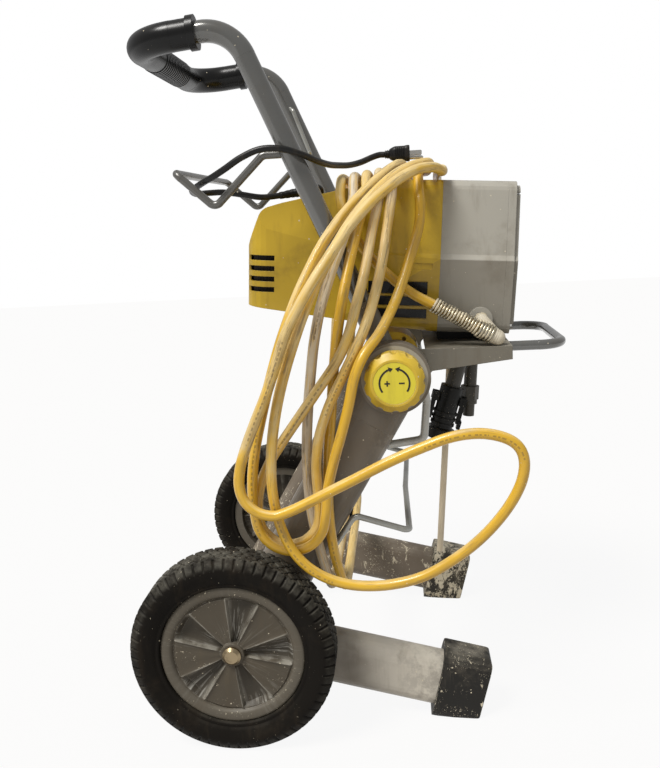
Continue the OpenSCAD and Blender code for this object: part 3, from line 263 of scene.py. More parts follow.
# %% [markdown]
# ## The route of the hose
#
# The hose is one length of paint hose. It leaves the outlet through a spring guard, climbs
# inside the handle, and is thrown round the machine in loops before it ends in one loose
# loop at the side. A real user winds it turn by turn, so the route is written the same way:
# crossings of the roof, loops that hang on the far side, and long turns on the near side.

# %% Hose stations
elbow = Vector((339, -140, 488))
hose_out = Vector((-0.868, 0, 0.496)).normalized()
ferrule_to, guard_end = 24.0, 92.0


def roof(x):
    return 687 - (x - 225) * 0.06 if x > 225 else 687 - (225 - x) * 0.11


OVER_RISE = [(-118, -14), (-98, 6), (-70, 13), (-35, 15), (0, 15), (35, 15), (70, 13), (98, 6), (118, -14)]


def over(x, way):
    """A crossing of the roof; way 1 starts on the near side."""
    return [(x, y, roof(x) + dz) for y, dz in (OVER_RISE if way > 0 else OVER_RISE[::-1])]


def hang(xc, y, z, x0, x1):
    """A loop that hangs on the far side between two crossings."""
    r, way, top_y = 42, 1 if x1 > x0 else -1, 122 + (y - 127) * 0.75
    low = [(xc + way * r * math.cos(math.radians(a)), y, z + r * math.sin(math.radians(a)))
           for a in range(180, 361, 30)]
    return [((x0 + low[0][0]) / 2, top_y, z + 33)] + low + [((x1 + low[6][0]) / 2, top_y, z + 33)]


def mirrored(points):
    """The same stations on the other side, the way back."""
    return [(x, -y, z) for x, y, z in reversed(points)]


hose_start = [tuple(elbow + hose_out * s) for s in (ferrule_to + 0.05, 50, guard_end)]
rise = [(238, -139, 546), (215, -136, 564), (193, -132, 586), (174, -129, 610), (159, -127, 636)]
inner_turn = [
    (213, -132, 653), (209, -138, 630), (203, -154, 598), (196, -172, 568), (188, -190, 541),
    (178, -208, 515), (165, -218, 488), (148, -218, 456), (132, -218, 425), (119, -218, 390),
    (113, -218, 355), (113, -218, 322), (113, -218, 291), (108, -218, 272), (94, -218, 258),
    (75.5, -218, 253), (57, -218, 258), (43, -218, 272), (38, -218, 291), (41, -218, 322),
    (54, -218, 354), (74, -218, 384), (97, -218, 415), (121, -218, 447), (145, -218, 480),
    (160, -213, 511), (169, -197, 541), (177, -177, 568), (184, -157, 598), (191, -140, 630),
    (197, -133, 653)]
outer_turn = [
    (250, -129, 653), (247, -131, 627), (236, -143, 594), (224, -161, 562), (211, -180, 534),
    (195, -205, 508), (177, -225, 487), (165, -232, 462), (157, -232, 430), (147, -232, 396),
    (136, -232, 362), (127, -232, 328), (122, -232, 293), (116, -232, 272), (101, -232, 256),
    (79.5, -232, 250), (58, -232, 256), (43, -232, 272), (37, -232, 294), (36, -232, 335),
    (42, -232, 376), (52, -232, 415), (64, -232, 455), (78, -232, 497), (91, -230, 530), (104, -223, 560),
    (117, -211, 586), (131, -198, 611), (147, -183, 634), (165, -166, 655), (185, -147, 675),
    (205, -130, 692), (221, -108, 703), (229, -78, 706)]
front_under = [
    (138, -204, 458), (133, -204, 412), (127, -204, 365), (124, -204, 318), (124, -204, 272),
    (128, -204, 232), (134, -197, 200), (136, -174, 178), (136, -135, 168), (136, -70, 165)]
front_wrap = [
    (180, -136, 653), (173, -149, 631), (165, -171, 601), (158, -187, 571), (151, -200, 538),
    (144, -204, 500)] + front_under + [(136, 0, 165)] + mirrored(front_under) + [
    (142, 203, 500), (144, 200, 540), (147, 193, 576), (153, 182, 611), (162, 160, 636), (166, 137, 657)]
rear_under = [
    (105, -204, 415), (101, -204, 370), (100, -204, 325), (103, -204, 280), (110, -204, 238),
    (117, -196, 203), (119, -174, 180), (119, -135, 171), (119, -70, 168)]
rear_wrap = [
    (166, -137, 657), (162, -160, 636), (153, -182, 611), (140, -194, 578), (128, -203, 543),
    (118, -204, 503), (111, -204, 460)] + rear_under + [(119, 0, 168)] + mirrored(rear_under) + [
    (110, 204, 460), (114, 207, 503), (120, 215, 540), (135, 221, 580), (157, 213, 618),
    (186, 196, 652), (215, 172, 679), (240, 143, 696), (258, 115, 702)]
last_over = [(264, 86, 702), (265, 45, 701), (265, 0, 701), (265, -45, 702), (264, -84, 705)]
last_down = [
    (257, -112, 704), (241, -133, 700), (220, -152, 690), (198, -172, 672), (176, -192, 649),
    (157, -210, 623), (141, -225, 597), (125, -238, 568), (111, -245, 538), (98, -246, 506),
    (85, -246, 470), (74, -246, 432), (66, -246, 392), (62, -246, 350)]
loose_loop = [
    (64, -246, 312), (71, -246, 281), (83, -246, 254), (101, -246, 233), (126, -246, 218),
    (158, -246, 210), (197, -247, 211), (237, -249, 222), (276, -252, 246), (308, -255, 274),
    (334, -257, 306), (350, -259, 337), (354, -260, 363), (347, -261, 382), (330, -261, 393),
    (304, -261, 398), (274, -261, 395), (241, -261, 384), (202, -261, 368), (161, -261, 348),
    (128, -261, 332), (99, -261, 318), (80, -261, 310), (64, -261, 306), (45, -261, 311), (31, -261, 325),
    (26, -261, 344), (29, -261, 366)]
last_up = [
    (37, -261, 389), (50, -261, 419), (65, -261, 451), (79, -261, 486), (93, -261, 521), (109, -260, 550),
    (127, -254, 578), (146, -240, 605), (165, -223, 631), (185, -206, 653), (207, -187, 672),
    (229, -166, 687), (249, -144, 696), (268, -120, 698), (279, -98, 694), (281, -70, 697),
    (281, -35, 698.6), (281, 0, 698.6), (281, 35, 698.6), (281, 70, 696.6), (282, 98, 690),
    (285, 121, 674), (288, 137, 652), (291, 150, 626), (291, 162, 600)]
hose_hangs = Vector((0, 0.42, -0.91)).normalized()

# Each stretch with the share of dried cream paint on it at its start and at its end
hose_stretches = [
    (hose_start + rise, 0.05, 0.15), (over(152, 1), 0.30, 0.55), (hang(184, 127, 612, 152, 216), 0.5, 0.5),
    (over(216, -1), 0.55, 0.85), (inner_turn[:15], 0.75, 0.55), (inner_turn[15:], 0.45, 0.80),
    (over(200, 1), 0.85, 0.6), (hang(228, 157, 604, 200, 249), 0.5, 0.4), (over(249, -1), 0.35, 0.05),
    (outer_turn[:15], 0.04, 0.10), (outer_turn[15:], 0.15, 0.62), ([(232, -40, roof(232) + 17)], 0.6, 0.6),
    (over(232, 1)[4:], 0.55, 0.4), (hang(216, 142, 606, 232, 184), 0.3, 0.3), (over(184, -1), 0.35, 0.6),
    (front_wrap[:14], 0.12, 0.22), (front_wrap[14:], 0.5, 0.7), (over(168, -1), 0.75, 0.9),
    (rear_wrap[:14], 0.80, 0.95), (rear_wrap[14:], 0.8, 0.6), (last_over, 0.6, 0.55),
    (last_down, 0.50, 0.62), (loose_loop[:4], 0.30, 0.06), (loose_loop[4:], 0.04, 0.12),
    (last_up[:12], 0.75, 0.55), (last_up[12:], 0.4, 0.2)]
hose_stations, hose_paint = [], []
for stretch, a, b in hose_stretches:
    for i, s in enumerate(stretch):
        hose_stations.append(at(*s))
        hose_paint.append(a + (b - a) * i / max(1, len(stretch) - 1))
hose_steps = 6
hose_line = smooth_path(hose_stations, hose_steps)
hose_diameter = 0.0127

# %% [markdown]
# ## The route of the mains lead
#
# The lead leaves a gland on top of the shroud, lies over the wire rack behind the handle and
# comes back over the hose, where its plug rests. It is stiffer than the hose for its size,
# so its curves are wide.

# %% Lead stations
lead_stations = [at(*p) for p in [
    (208, -20, 723), (200, -20, 723), (190, -24, 720), (176, -38, 714), (162, -60, 710), (150, -86, 709),
    (140, -114, 709), (129, -146, 712), (113, -174, 719), (91, -183, 726), (66, -184, 727),
    (42, -182, 719), (22, -179, 708), (5, -171, 700), (-10, -157, 695), (-25, -137, 690),
    (-36, -112, 687), (-37, -86, 684), (-26, -65, 685), (-7, -57, 685), (16, -55, 681),
    (42, -51, 676), (66, -44, 677), (82, -40, 679), (93, -40, 680)]]
lead_line = smooth_path(lead_stations, 6)[::-1]
lead_diameter = 0.008

# %% [markdown]
# ## Finishes from nodes
#
# Every finish here is a small recipe on the same base: a colour that drifts a little, dirt
# that gathers, flecks of dried paint, and edges that have lost their coat. Writing the
# common steps once keeps each recipe short, and all of them work in object coordinates,
# in metres, so a fleck has the same size on every part.

# %% Node helpers
class Recipe:
    """A material and short ways to add nodes to it."""

    def __init__(self, name):
        self.material = bpy.data.materials.new(name)
        self.material.use_nodes = True
        self.tree = self.material.node_tree
        self.shader = self.tree.nodes["Principled BSDF"]
        self.place = self.add("ShaderNodeTexCoord").outputs["Object"]

    def add(self, kind, **settings):
        node = self.tree.nodes.new(kind)
        for key, value in settings.items():
            setattr(node, key, value)
        return node

    # Places
    def stretched(self, x, y, z, place=None):
        """A place scaled along each axis, so that noise on it is drawn out."""
        m = self.add("ShaderNodeMapping")
        return feed(m, Scale=(x, y, z), Vector=place or self.place).outputs["Vector"]

    def split(self, vector):
        return feed(self.add("ShaderNodeSeparateXYZ"), Vector=vector).outputs

    def coordinate(self, axis):
        return self.split(self.place)[axis]

    def carried(self, name, output="Fac"):
        """A value or a vector that the mesh carries on its points."""
        return self.add("ShaderNodeAttribute", attribute_name=name).outputs[output]

    def facing(self, axis="Z"):
        """How far the surface looks along an axis, from -1 to 1."""
        return self.split(self.add("ShaderNodeNewGeometry").outputs["Normal"])[axis]

    # Sums
    def sums(self, kind, a, b=0.0, clamp=False):
        return feed(self.add("ShaderNodeMath", operation=kind, use_clamp=clamp), a, b).outputs[0]

    def times(self, a, b, clamp=False):
        return self.sums("MULTIPLY", a, b, clamp)

    def plus(self, a, b):
        return self.sums("ADD", a, b)

    def minus(self, a, b, clamp=False):
        return self.sums("SUBTRACT", a, b, clamp)

    def most(self, a, b):
        return self.sums("MAXIMUM", a, b)

    def step(self, value, low, high):
        """0 below low, 1 above high, smooth between."""
        n = self.add("ShaderNodeMapRange", interpolation_type="SMOOTHSTEP")
        return feed(n, Value=value, From_Min=low, From_Max=high).outputs["Result"]

    def blend(self, share, a, b):
        n = self.add("ShaderNodeMix", data_type="RGBA")
        return feed(n, Factor=share, A=a, B=b).outputs["Result"]

    # Patterns
    def noise(self, scale, detail=4.0, rough=0.55, place=None, twist=0.0):
        n = self.add("ShaderNodeTexNoise")
        return feed(n, Scale=scale, Detail=detail, Roughness=rough, Distortion=twist,
                         Vector=place or self.place).outputs["Fac"]

    def flecks(self, per_metre, share, reach=0.42):
        """Round spots: a fleck sits in a share of the cells of a grid of cells."""
        bent = self.add("ShaderNodeTexNoise")
        feed(bent, Scale=per_metre * 1.7, Detail=2.0, Vector=self.place)
        moved = self.add("ShaderNodeVectorMath", operation="MULTIPLY_ADD")
        feed(moved, bent.outputs["Color"], (0.35 / per_metre,) * 3, self.place)
        cells = feed(self.add("ShaderNodeTexVoronoi"), Scale=per_metre, Vector=moved.outputs["Vector"])
        chance = feed(self.add("ShaderNodeSeparateColor"), Color=cells.outputs["Color"])
        size = self.times(self.step(chance.outputs["Red"], 1 - share, 1.0), reach)
        return self.step(self.minus(size, cells.outputs["Distance"]), 0.0, 0.09)

    def specks(self, per_metre, low, patch=0.46):
        """Irregular spots where a fine noise stands above a level, gathered in patches."""
        fine = self.step(self.noise(per_metre, 3.0, 0.62, twist=0.5), low, low + 0.03)
        return self.times(fine, self.step(self.noise(per_metre / 14, 3.0), patch, patch + 0.14))

    def rounded(self, width):
        """The normal with every edge rounded off to a width."""
        n = self.add("ShaderNodeBevel", samples=4)
        return feed(n, Radius=width).outputs["Normal"]

    def edges(self, width):
        """1 where the surface bends sharply within the width, from a rounded normal."""
        flat = self.add("ShaderNodeNewGeometry").outputs["Normal"]
        d = feed(self.add("ShaderNodeVectorMath", operation="DOT_PRODUCT"), self.rounded(width), flat)
        return self.step(self.minus(1.0, d.outputs["Value"]), 0.02, 0.18)

    # The surface
    def grain(self, height, strength, distance=0.0004, soften=0.0):
        bump = feed(self.add("ShaderNodeBump"), Height=height, Strength=strength, Distance=distance)
        if soften:
            feed(bump, Normal=self.rounded(soften))
        feed(self.shader, Normal=bump.outputs["Normal"])

    def finish(self, colour, rough, metal=0.0, coat=0.0):
        feed(self.shader, Base_Color=colour, Roughness=rough, Metallic=metal, Coat_Weight=coat)
        return self.material


CREAM = (0.72, 0.66, 0.52)
print("node helpers ready; flecks are", CREAM)

# %% [markdown]
# ## Paint, plastic, rubber and metal
#
# `coated` covers everything that was painted or moulded in a colour. Its few numbers say
# how old the coat looks: how much the colour drifts, how many flecks landed on it, and how
# bare its edges are.

# %% Coated finishes
def coated(name, colour, rough=0.5, drift=0.12, flecks=0.03, specks=0.70, smear=0.0, dust=0.15, worn=0.35,
           under=(0.30, 0.29, 0.27), peel=900.0, bump=0.10, metal=0.0, soften=0.0012, fleck_size=260.0,
           grime=(0.10, 0.075, 0.045), grimy=0.3, coat=0.0, shine=0.4, tint=None):
    r = Recipe(name)
    feed(r.shader, Specular_IOR_Level=shine)
    darker, lighter = [c * (1 - drift) for c in colour], [min(1, c * (1 + drift)) for c in colour]
    base = r.blend(r.noise(9.0, 5.0), darker, lighter)
    if tint is not None:
        base = tint(r, base)
    dirt = r.step(r.noise(22.0, 8.0, 0.65), 0.50, 0.78)
    base = r.blend(r.times(dirt, grimy), base, grime)
    streaky = r.step(r.noise(1.0, 6.0, 0.6, r.stretched(70, 70, 9)), 0.52, 0.72)
    base = r.blend(r.times(streaky, grimy * 0.6), base, grime)
    settled = r.times(r.step(r.facing(), 0.1, 1.0), r.step(r.noise(30.0, 6.0), 0.35, 0.7))
    base = r.blend(r.times(settled, dust), base, (0.50, 0.46, 0.37))
    bare = r.times(r.edges(0.0016), r.step(r.noise(120.0, 6.0, 0.7), 0.42, 0.60))
    base = r.blend(r.times(bare, worn), base, under)
    spots = r.most(r.flecks(fleck_size, flecks, 0.30), r.specks(fleck_size * 1.6, specks))
    if smear:
        lumps = r.noise(75.0, 10.0, 0.72, r.stretched(1, 1, 0.5), twist=0.6)
        spots = r.most(spots, r.times(r.step(lumps, 0.64 - smear, 0.67 - smear), 0.92))
    base = r.blend(spots, base, r.blend(r.noise(90.0), CREAM, (0.58, 0.51, 0.37)))
    height = r.plus(r.times(r.noise(peel, 2.0), 0.35), spots)
    r.grain(height, bump, 0.0005, soften)
    roughness = r.plus(rough, r.times(r.noise(45.0), 0.16))
    r.material.diffuse_color = (*colour, 1.0)
    return r.finish(base, r.minus(roughness, 0.08, clamp=True), metal, coat)


def pale_foot(r, base):
    """The foot tube has been wiped paler than the leg above it."""
    low = r.step(r.coordinate("Z"), 0.20, 0.10)
    low = r.times(low, r.step(r.noise(7.0, 4.0), 0.30, 0.62))
    base = r.blend(low, base, (0.44, 0.41, 0.355))
    cap_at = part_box("foot_cap_near")[0].x
    end = r.step(r.coordinate("X"), cap_at - 0.07, cap_at + 0.005)
    splashed = r.times(end, r.step(r.noise(42.0, 9.0, 0.72), 0.40, 0.56))
    return r.blend(r.times(splashed, 0.75), base, (0.66, 0.62, 0.53))


PIVOT_X, PIVOT_Z, CAST_RING_R = 0.211 - MID_X, 0.452, 0.040


def ringed(r, base):
    """A paler cast ring round the pivot, where the knob presses."""
    x = r.minus(r.coordinate("X"), PIVOT_X)
    z = r.minus(r.coordinate("Z"), PIVOT_Z)
    away = r.sums("SQRT", r.plus(r.times(x, x), r.times(z, z)))
    inside = r.step(away, CAST_RING_R + 0.0005, CAST_RING_R - 0.0005)
    return r.blend(inside, base, (0.36, 0.345, 0.30))


def shaded_below(dark, share):
    """Painted shade on every face that leans downwards."""
    def tint(r, base):
        return r.blend(r.times(r.step(r.facing(), 0.02, -0.05), share), base, dark)
    return tint


near_frame = coated("near_frame_paint", (0.150, 0.128, 0.100), 0.40, worn=0.45, specks=0.69, grimy=0.4,
                    tint=pale_foot, bump=0.12)
far_frame = coated("far_frame_paint", (0.150, 0.122, 0.092), 0.50, flecks=0.10, specks=0.62, smear=0.06,
                   dust=0.3, grimy=0.4)
head_grey = coated("leg_head_paint", (0.165, 0.145, 0.118), 0.42, worn=0.4, grimy=0.35, bump=0.14,
                   tint=ringed)
handle_grey = coated("handle_paint", (0.125, 0.125, 0.119), 0.22, specks=0.74, worn=0.4, dust=0.06, coat=0.55,
                     metal=0.45, shine=0.8)
rack_grey = coated("rack_paint", (0.115, 0.113, 0.105), 0.30, specks=0.72, worn=0.5, dust=0.10, coat=0.3,
                   metal=0.3, shine=0.6)
# The housing's lower, downward-leaning half gets painted shade from shaded_below.
cast_grey = coated("cast_housing_paint", (0.36, 0.345, 0.30), 0.44, drift=0.10, specks=0.71, worn=0.30,
                   under=(0.48, 0.46, 0.41), grime=(0.14, 0.115, 0.08), grimy=0.42, bump=0.16, coat=0.1,
                   tint=shaded_below((0.13, 0.112, 0.082), 0.50))
tray_grey = coated("tray_paint", (0.165, 0.152, 0.122), 0.40, specks=0.68, dust=0.30, worn=0.55, grimy=0.45)
zinc_wire = coated("zinc_wire", (0.36, 0.365, 0.345), 0.34, metal=0.6, specks=0.72, worn=0.2, grimy=0.4)
hook_zinc = coated("hook_zinc", (0.42, 0.42, 0.395), 0.36, metal=0.4, specks=0.70, worn=0.2, grimy=0.4)
# The shroud's downward-leaning faces get painted shade from shaded_below.
shroud_yellow = coated("shroud_yellow", (0.56, 0.375, 0.022), 0.38, specks=0.73, worn=0.25, coat=0.2,
                       under=(0.66, 0.54, 0.18), grime=(0.16, 0.095, 0.012), grimy=0.42,
                       tint=shaded_below((0.25, 0.150, 0.008), 0.45))
knob_yellow = coated("knob_yellow", (0.62, 0.43, 0.035), 0.40, specks=0.70, worn=0.85,
                     under=(0.74, 0.64, 0.34), grime=(0.20, 0.12, 0.02), grimy=0.55, bump=0.14)
dial_yellow = coated("dial_yellow", (0.70, 0.60, 0.045), 0.34, drift=0.06, specks=0.74, worn=0.2, dust=0.05,
                     under=(0.74, 0.70, 0.34), grime=(0.30, 0.22, 0.03), bump=0.05)
black_nylon = coated("black_nylon", (0.007, 0.007, 0.006), 0.40, shine=0.2, specks=0.67, dust=0.12, worn=0.3,
                     under=(0.09, 0.085, 0.08), grime=(0.06, 0.052, 0.04))
grip_rubber = coated("grip_rubber", (0.004, 0.004, 0.004), 0.28, shine=0.30, specks=0.74, dust=0.02, worn=0.1,
                     under=(0.05, 0.05, 0.05), grime=(0.018, 0.016, 0.014))
near_cap = coated("near_cap_rubber", (0.018, 0.017, 0.015), 0.58, shine=0.2, flecks=0.10, specks=0.62,
                  smear=0.03, dust=0.4, worn=0.95, under=(0.55, 0.50, 0.40), grime=(0.16, 0.14, 0.11),
                  grimy=0.6, bump=0.25)
far_cap = coated("far_cap_rubber", (0.030, 0.027, 0.022), 0.62, shine=0.2, flecks=0.30, specks=0.53,
                 smear=0.115, dust=0.8, worn=0.95, under=(0.60, 0.54, 0.42), grime=(0.30, 0.26, 0.19),
                 grimy=0.8, bump=0.30)
lead_rubber = coated("lead_rubber", (0.008, 0.008, 0.008), 0.38, shine=0.3, specks=0.74, dust=0.05, worn=0.0)
cream_tube = coated("cream_tube", (0.66, 0.57, 0.42), 0.42, flecks=0.0, specks=0.8, worn=0.0, grimy=0.4,
                    grime=(0.34, 0.24, 0.13), dust=0.1)
crust_cream = coated("dried_paint", (0.58, 0.53, 0.42), 0.55, drift=0.25, flecks=0.10, specks=0.60, worn=0.9,
                     under=(0.36, 0.34, 0.30), grime=(0.22, 0.17, 0.11), grimy=0.6, bump=0.5)
label_black = coated("label_black", (0.006, 0.006, 0.006), 0.28, shine=0.2, specks=0.73, dust=0.03, worn=0.0,
                     grime=(0.05, 0.05, 0.05), bump=0.03, soften=0.0004, coat=0.1)
pump_grey = coated("pump_casting", (0.050, 0.047, 0.038), 0.44, shine=0.35, flecks=0.05, specks=0.66,
                   bump=0.2)
# A near-black finish for the sheet of painted shade inside the shroud's louvres.
painted_shade_sheet = coated("painted_shade_sheet", (0.012, 0.011, 0.010), 0.7, specks=0.75, dust=0.1, worn=0.0, bump=0.3)
print("coated finishes:", len(bpy.data.materials))


# %% Bare metal finishes
def bare_metal(name, colour, rough=0.3, stain=(0.16, 0.12, 0.08), stained=0.3, splash=0.0):
    r = Recipe(name)
    streak = r.noise(6.0, 5.0, 0.6, r.stretched(30, 30, 400))
    base = r.blend(streak, [c * 0.86 for c in colour], colour)
    rust = r.step(r.noise(48.0, 8.0, 0.7), 0.55, 0.75)
    base = r.blend(r.times(rust, stained), base, stain)
    paint = r.step(r.noise(95.0, 8.0, 0.7, twist=0.4), 0.70 - splash, 0.74 - splash)
    base = r.blend(paint, base, r.blend(r.noise(160.0), CREAM, (0.50, 0.43, 0.28)))
    r.grain(r.plus(streak, paint), 0.12, 0.0003, 0.0005)
    roughness = r.plus(rough - 0.05, r.times(r.most(rust, paint), 0.3))
    return r.finish(base, roughness, r.minus(1.0, paint))


steel = bare_metal("turned_steel", (0.56, 0.55, 0.52), 0.32)
brass = bare_metal("cap_brass", (0.36, 0.28, 0.17), 0.36, stained=0.55, splash=0.06)
copper = bare_metal("rotor_windings", (0.52, 0.24, 0.10), 0.4)
outlet_metal = bare_metal("splashed_fitting", (0.52, 0.50, 0.46), 0.40, splash=0.21)
guard_metal = bare_metal("tarnished_spring", (0.60, 0.54, 0.40), 0.40, stain=(0.30, 0.22, 0.10), stained=0.5,
                         splash=0.19)
print("metal finishes ready")

# %% [markdown]
# ## The hose's own finish
#
# The hose is smooth yellow plastic. Where it was dragged through overspray it wears a skin
# of cream paint that has cracked and rubbed off in long streaks. The tube carries a value,
# `coated`, that says how much of that skin each stretch still has, and a place, `wound`,
# measured round and along the hose, so that noise can be drawn out into streaks that
# follow every bend. Short plain dashes stand for its printed line.

# %% Hose finish
def hose_finish():
    r = Recipe("paint_hose")
    skin, wound = r.carried("coated"), r.carried("wound", "Vector")

    def streaks(around, along, detail=5.0, rough=0.6):
        return r.noise(1.0, detail, rough, r.stretched(around, around, along, wound), twist=0.2)

    base = r.blend(streaks(50, 6), (0.58, 0.330, 0.016), (0.76, 0.475, 0.040))
    ochre = r.step(streaks(120, 11), 0.50, 0.70)
    base = r.blend(r.times(ochre, 0.55), base, (0.42, 0.245, 0.030))
    ragged = r.plus(r.times(streaks(210, 12, 7.0), 0.55), r.times(r.noise(24.0, 7.0), 0.45))
    # More cream on the upper sides: partly dust settled on top, partly a painted highlight, so cover holds
    # some painted highlight too.
    upper_dust_and_highlight = r.step(r.facing(), 0.1, 0.85)
    level = r.plus(r.plus(ragged, r.times(skin, 0.46)), r.times(upper_dust_and_highlight, 0.22))
    cover = r.step(level, 0.70, 0.86)
    rubbed = r.step(streaks(330, 15, 4.0), 0.54, 0.62)
    cover = r.times(cover, r.minus(1.0, r.times(rubbed, 0.55)))
    buff = r.blend(streaks(150, 20, 6.0), (0.54, 0.35, 0.09), (0.88, 0.72, 0.38))
    chalk = r.blend(streaks(190, 24, 7.0), (0.40, 0.33, 0.23), (0.84, 0.78, 0.66))
    cream = r.blend(r.step(skin, 0.70, 0.90), buff, chalk)
    thin = r.step(level, 0.60, 0.74)
    base = r.blend(r.times(thin, 0.35), base, (0.84, 0.58, 0.16))
    base = r.blend(r.times(cover, 0.92), base, cream)
    soiled = r.step(streaks(230, 20, 8.0, 0.72), 0.51, 0.64)
    soiled = r.times(soiled, r.plus(0.34, r.times(skin, 0.52)), clamp=True)
    base = r.blend(soiled, base, (0.17, 0.115, 0.060))
    handled = r.step(r.noise(9.0, 6.0, 0.6), 0.50, 0.72)
    base = r.blend(r.times(handled, 0.42), base, (0.30, 0.18, 0.05))

    along = r.split(wound)["Z"]
    beat = r.sums("FRACT", r.plus(r.times(along, 150.0), r.times(streaks(4, 90, 2.0), 2.2)))
    printed = r.step(r.sums("FRACT", r.times(along, 2.3)), 0.70, 0.71)
    line = r.step(r.facing("Y"), -0.982, -0.990)
    mark = r.times(r.times(r.step(beat, 0.42, 0.48), printed), line)
    base = r.blend(r.times(mark, 0.5), base, (0.11, 0.07, 0.03))

    base = r.blend(r.flecks(420.0, 0.05, 0.28), base, (0.82, 0.77, 0.66))
    height = r.plus(cover, r.times(streaks(300, 120, 3.0), 0.3))
    r.grain(height, 0.28, 0.0004)
    return r.finish(base, r.plus(0.30, r.times(cover, 0.30)), coat=0.08)


hose_skin = hose_finish()
print("hose finish ready")

# %% [markdown]
# ## The hose and the lead
#
# Both are tubes round their paths. A curve with a bevel would give the same shape, but a
# mesh can carry the paint value along its length, so the tube is lofted here.

# %% Hose
hose_frames = carried_frames(hose_line, (0, 1, 0), start=hose_out, end=hose_hangs)
cord_sides = 14
skin, faces = tube_skin(hose_line, hose_frames, hose_diameter / 2, cord_sides)
hose = make_piece("paint_hose", skin, faces, "sprayer", hose_skin)
shares, wound, run = [], [], 0.0
for i, p in enumerate(hose_line):
    k, f = divmod(i / hose_steps, 1)
    k = min(int(k), len(hose_paint) - 1)
    share = hose_paint[k] * (1 - f) + hose_paint[min(k + 1, len(hose_paint) - 1)] * f
    run += (p - hose_line[i - 1]).length if i else 0.0
    for s in range(cord_sides):
        a = 2 * math.pi * s / cord_sides
        shares.append(share)
        wound += [hose_diameter / 2 * math.cos(a), hose_diameter / 2 * math.sin(a), run]
carry(hose, "coated", shares)
carry(hose, "wound", wound, "FLOAT_VECTOR")
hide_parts("hose_run", "hose_loops", "hose_tail")
print("hose tube:", len(hose.data.polygons), "faces")

# %% Mains lead
lead_frames = carried_frames(lead_line, (0, 1, 0), start=(-1, 0, 0), end=(1, 0, 0))
skin, faces = tube_skin(lead_line, lead_frames, lead_diameter / 2, cord_sides)
lead = make_piece("mains_lead_cord", skin, faces, "sprayer", lead_rubber)
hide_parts("mains_lead")
print("lead tube:", len(lead.data.polygons), "faces")

# %% [markdown]
# ## Tyres with a blocky tread
#
# A tyre is a turned shape, but its tread isn't: interlocking blocks run round it in five
# rows, and notches cut its shoulders. One way is to model a block and repeat it. Here the
# tyre is turned as a fine grid instead, and points that fall on the border between two
# neighbouring blocks of a honeycomb are pushed in, which gives the same grooves all round.

# %% The tread
WHEEL_Y, TYRE_R = 241.5, 127.0
TREAD_HALF, SHOULDER_R = 18.0, 112.0
GROOVE, SIPE, NOTCH = 2.6, 0.7, 2.2       # depths of the cuts
tread_steps = 840
blocks_round, row_pitch = 60, 9.2
block_pitch = 2 * math.pi * TYRE_R / blocks_round


def block_border(u, v):
    """Distance in mm from a point of the tread to the border of its block."""
    near = []
    row = round(v / row_pitch)
    for j in (row - 1, row, row + 1):
        shift = 0.5 * (j % 2)
        i = round(u / block_pitch - shift)
        for k in (i - 1, i, i + 1):
            cu, cv = (k + shift) * block_pitch, j * row_pitch
            near.append(((u - cu) ** 2 + (v - cv) ** 2, cu, cv))
    near.sort()
    (a, au, av), (b, bu, bv) = near[:2]
    return (b - a) / (2 * math.hypot(au - bu, av - bv))


def ease(x, low, high):
    t = min(1.0, max(0.0, (x - low) / (high - low)))
    return t * t * (3 - 2 * t)


sidewall = [
    (90.0, 12.0), (90.0, 19.6), (91.2, 20.6), (93.0, 21.4), (94.2, 20.9), (95.4, 21.2), (96.6, 22.4),
    (100, 23.6), (104, 25.0), (108, 26.2), (111, 26.65), (113, 26.75), (115, 26.5), (116.5, 26.0),
    (118, 25.3), (120, 24.0), (122, 22.6), (123.8, 21.3), (125.3, 20.0), (126.4, 18.9)]
crown = [(TYRE_R, TREAD_HALF * (1 - k / 20)) for k in range(41)]
tyre_profile = sidewall + crown + [(r, -y) for r, y in reversed(sidewall)]
print("tyre grid:", tread_steps, "x", len(tyre_profile))


# %% Both tyres
def cut_tread(r, y, u, notch_shift):
    """The tyre's radius, height and share of block top at a point of its grid."""
    place = (u / block_pitch) % 1.0
    if abs(y) <= TREAD_HALF and r > 120:
        border = block_border(u, y)
        zigzag = abs(place - 0.5 - 0.10 * math.sin(y * 1.1))
        r -= GROOVE * (1 - ease(border, 0.45, 1.25)) + SIPE * (1 - ease(zigzag, 0.02, 0.06))
        return r, y, ease(border, 0.6, 1.3) + ease(border, 0.8, 1.3) * (1 - ease(border, 1.4, 2.4))
    if r > SHOULDER_R:
        notched = 1 - ease(abs((place + notch_shift) % 1.0 - 0.5), 0.06, 0.15)
        amount = 0.7 * NOTCH * notched * ease(r, SHOULDER_R + 0.5, 118)
        return r - amount, y - math.copysign(amount, y), (1 - notched) * ease(r, 114, 120)
    return r, y, 0.0


def make_tyre(name, side, body, material):
    centre = at(0, side * WHEEL_Y, TYRE_R)
    skin, tops = [], []
    for i in range(tread_steps):
        a = 2 * math.pi * i / tread_steps
        for r, y in tyre_profile:
            r, y, top = cut_tread(r, y, a * TYRE_R, 0.5 if side * y > 0 else 0.0)
            tops.append(top)
            skin.append(centre + Vector((r * math.cos(a), y, r * math.sin(a))) / 1000)
    faces = ring_faces(tread_steps, len(tyre_profile), capped=False, looped=True)
    tyre = make_piece(name, skin, faces, body, material)
    carry(tyre, "top", tops)
    return turned_out(tyre)


def dusty_blocks(r, base):
    """Grey dust on the tops of the blocks, most on those that look up."""
    top = r.times(r.carried("top"), r.step(r.noise(60.0, 6.0, 0.65), 0.34, 0.66))
    up = r.plus(0.22, r.times(r.step(r.facing(), -0.2, 1.0), 0.45))
    return r.blend(r.times(top, up, clamp=True), base, (0.105, 0.100, 0.082))


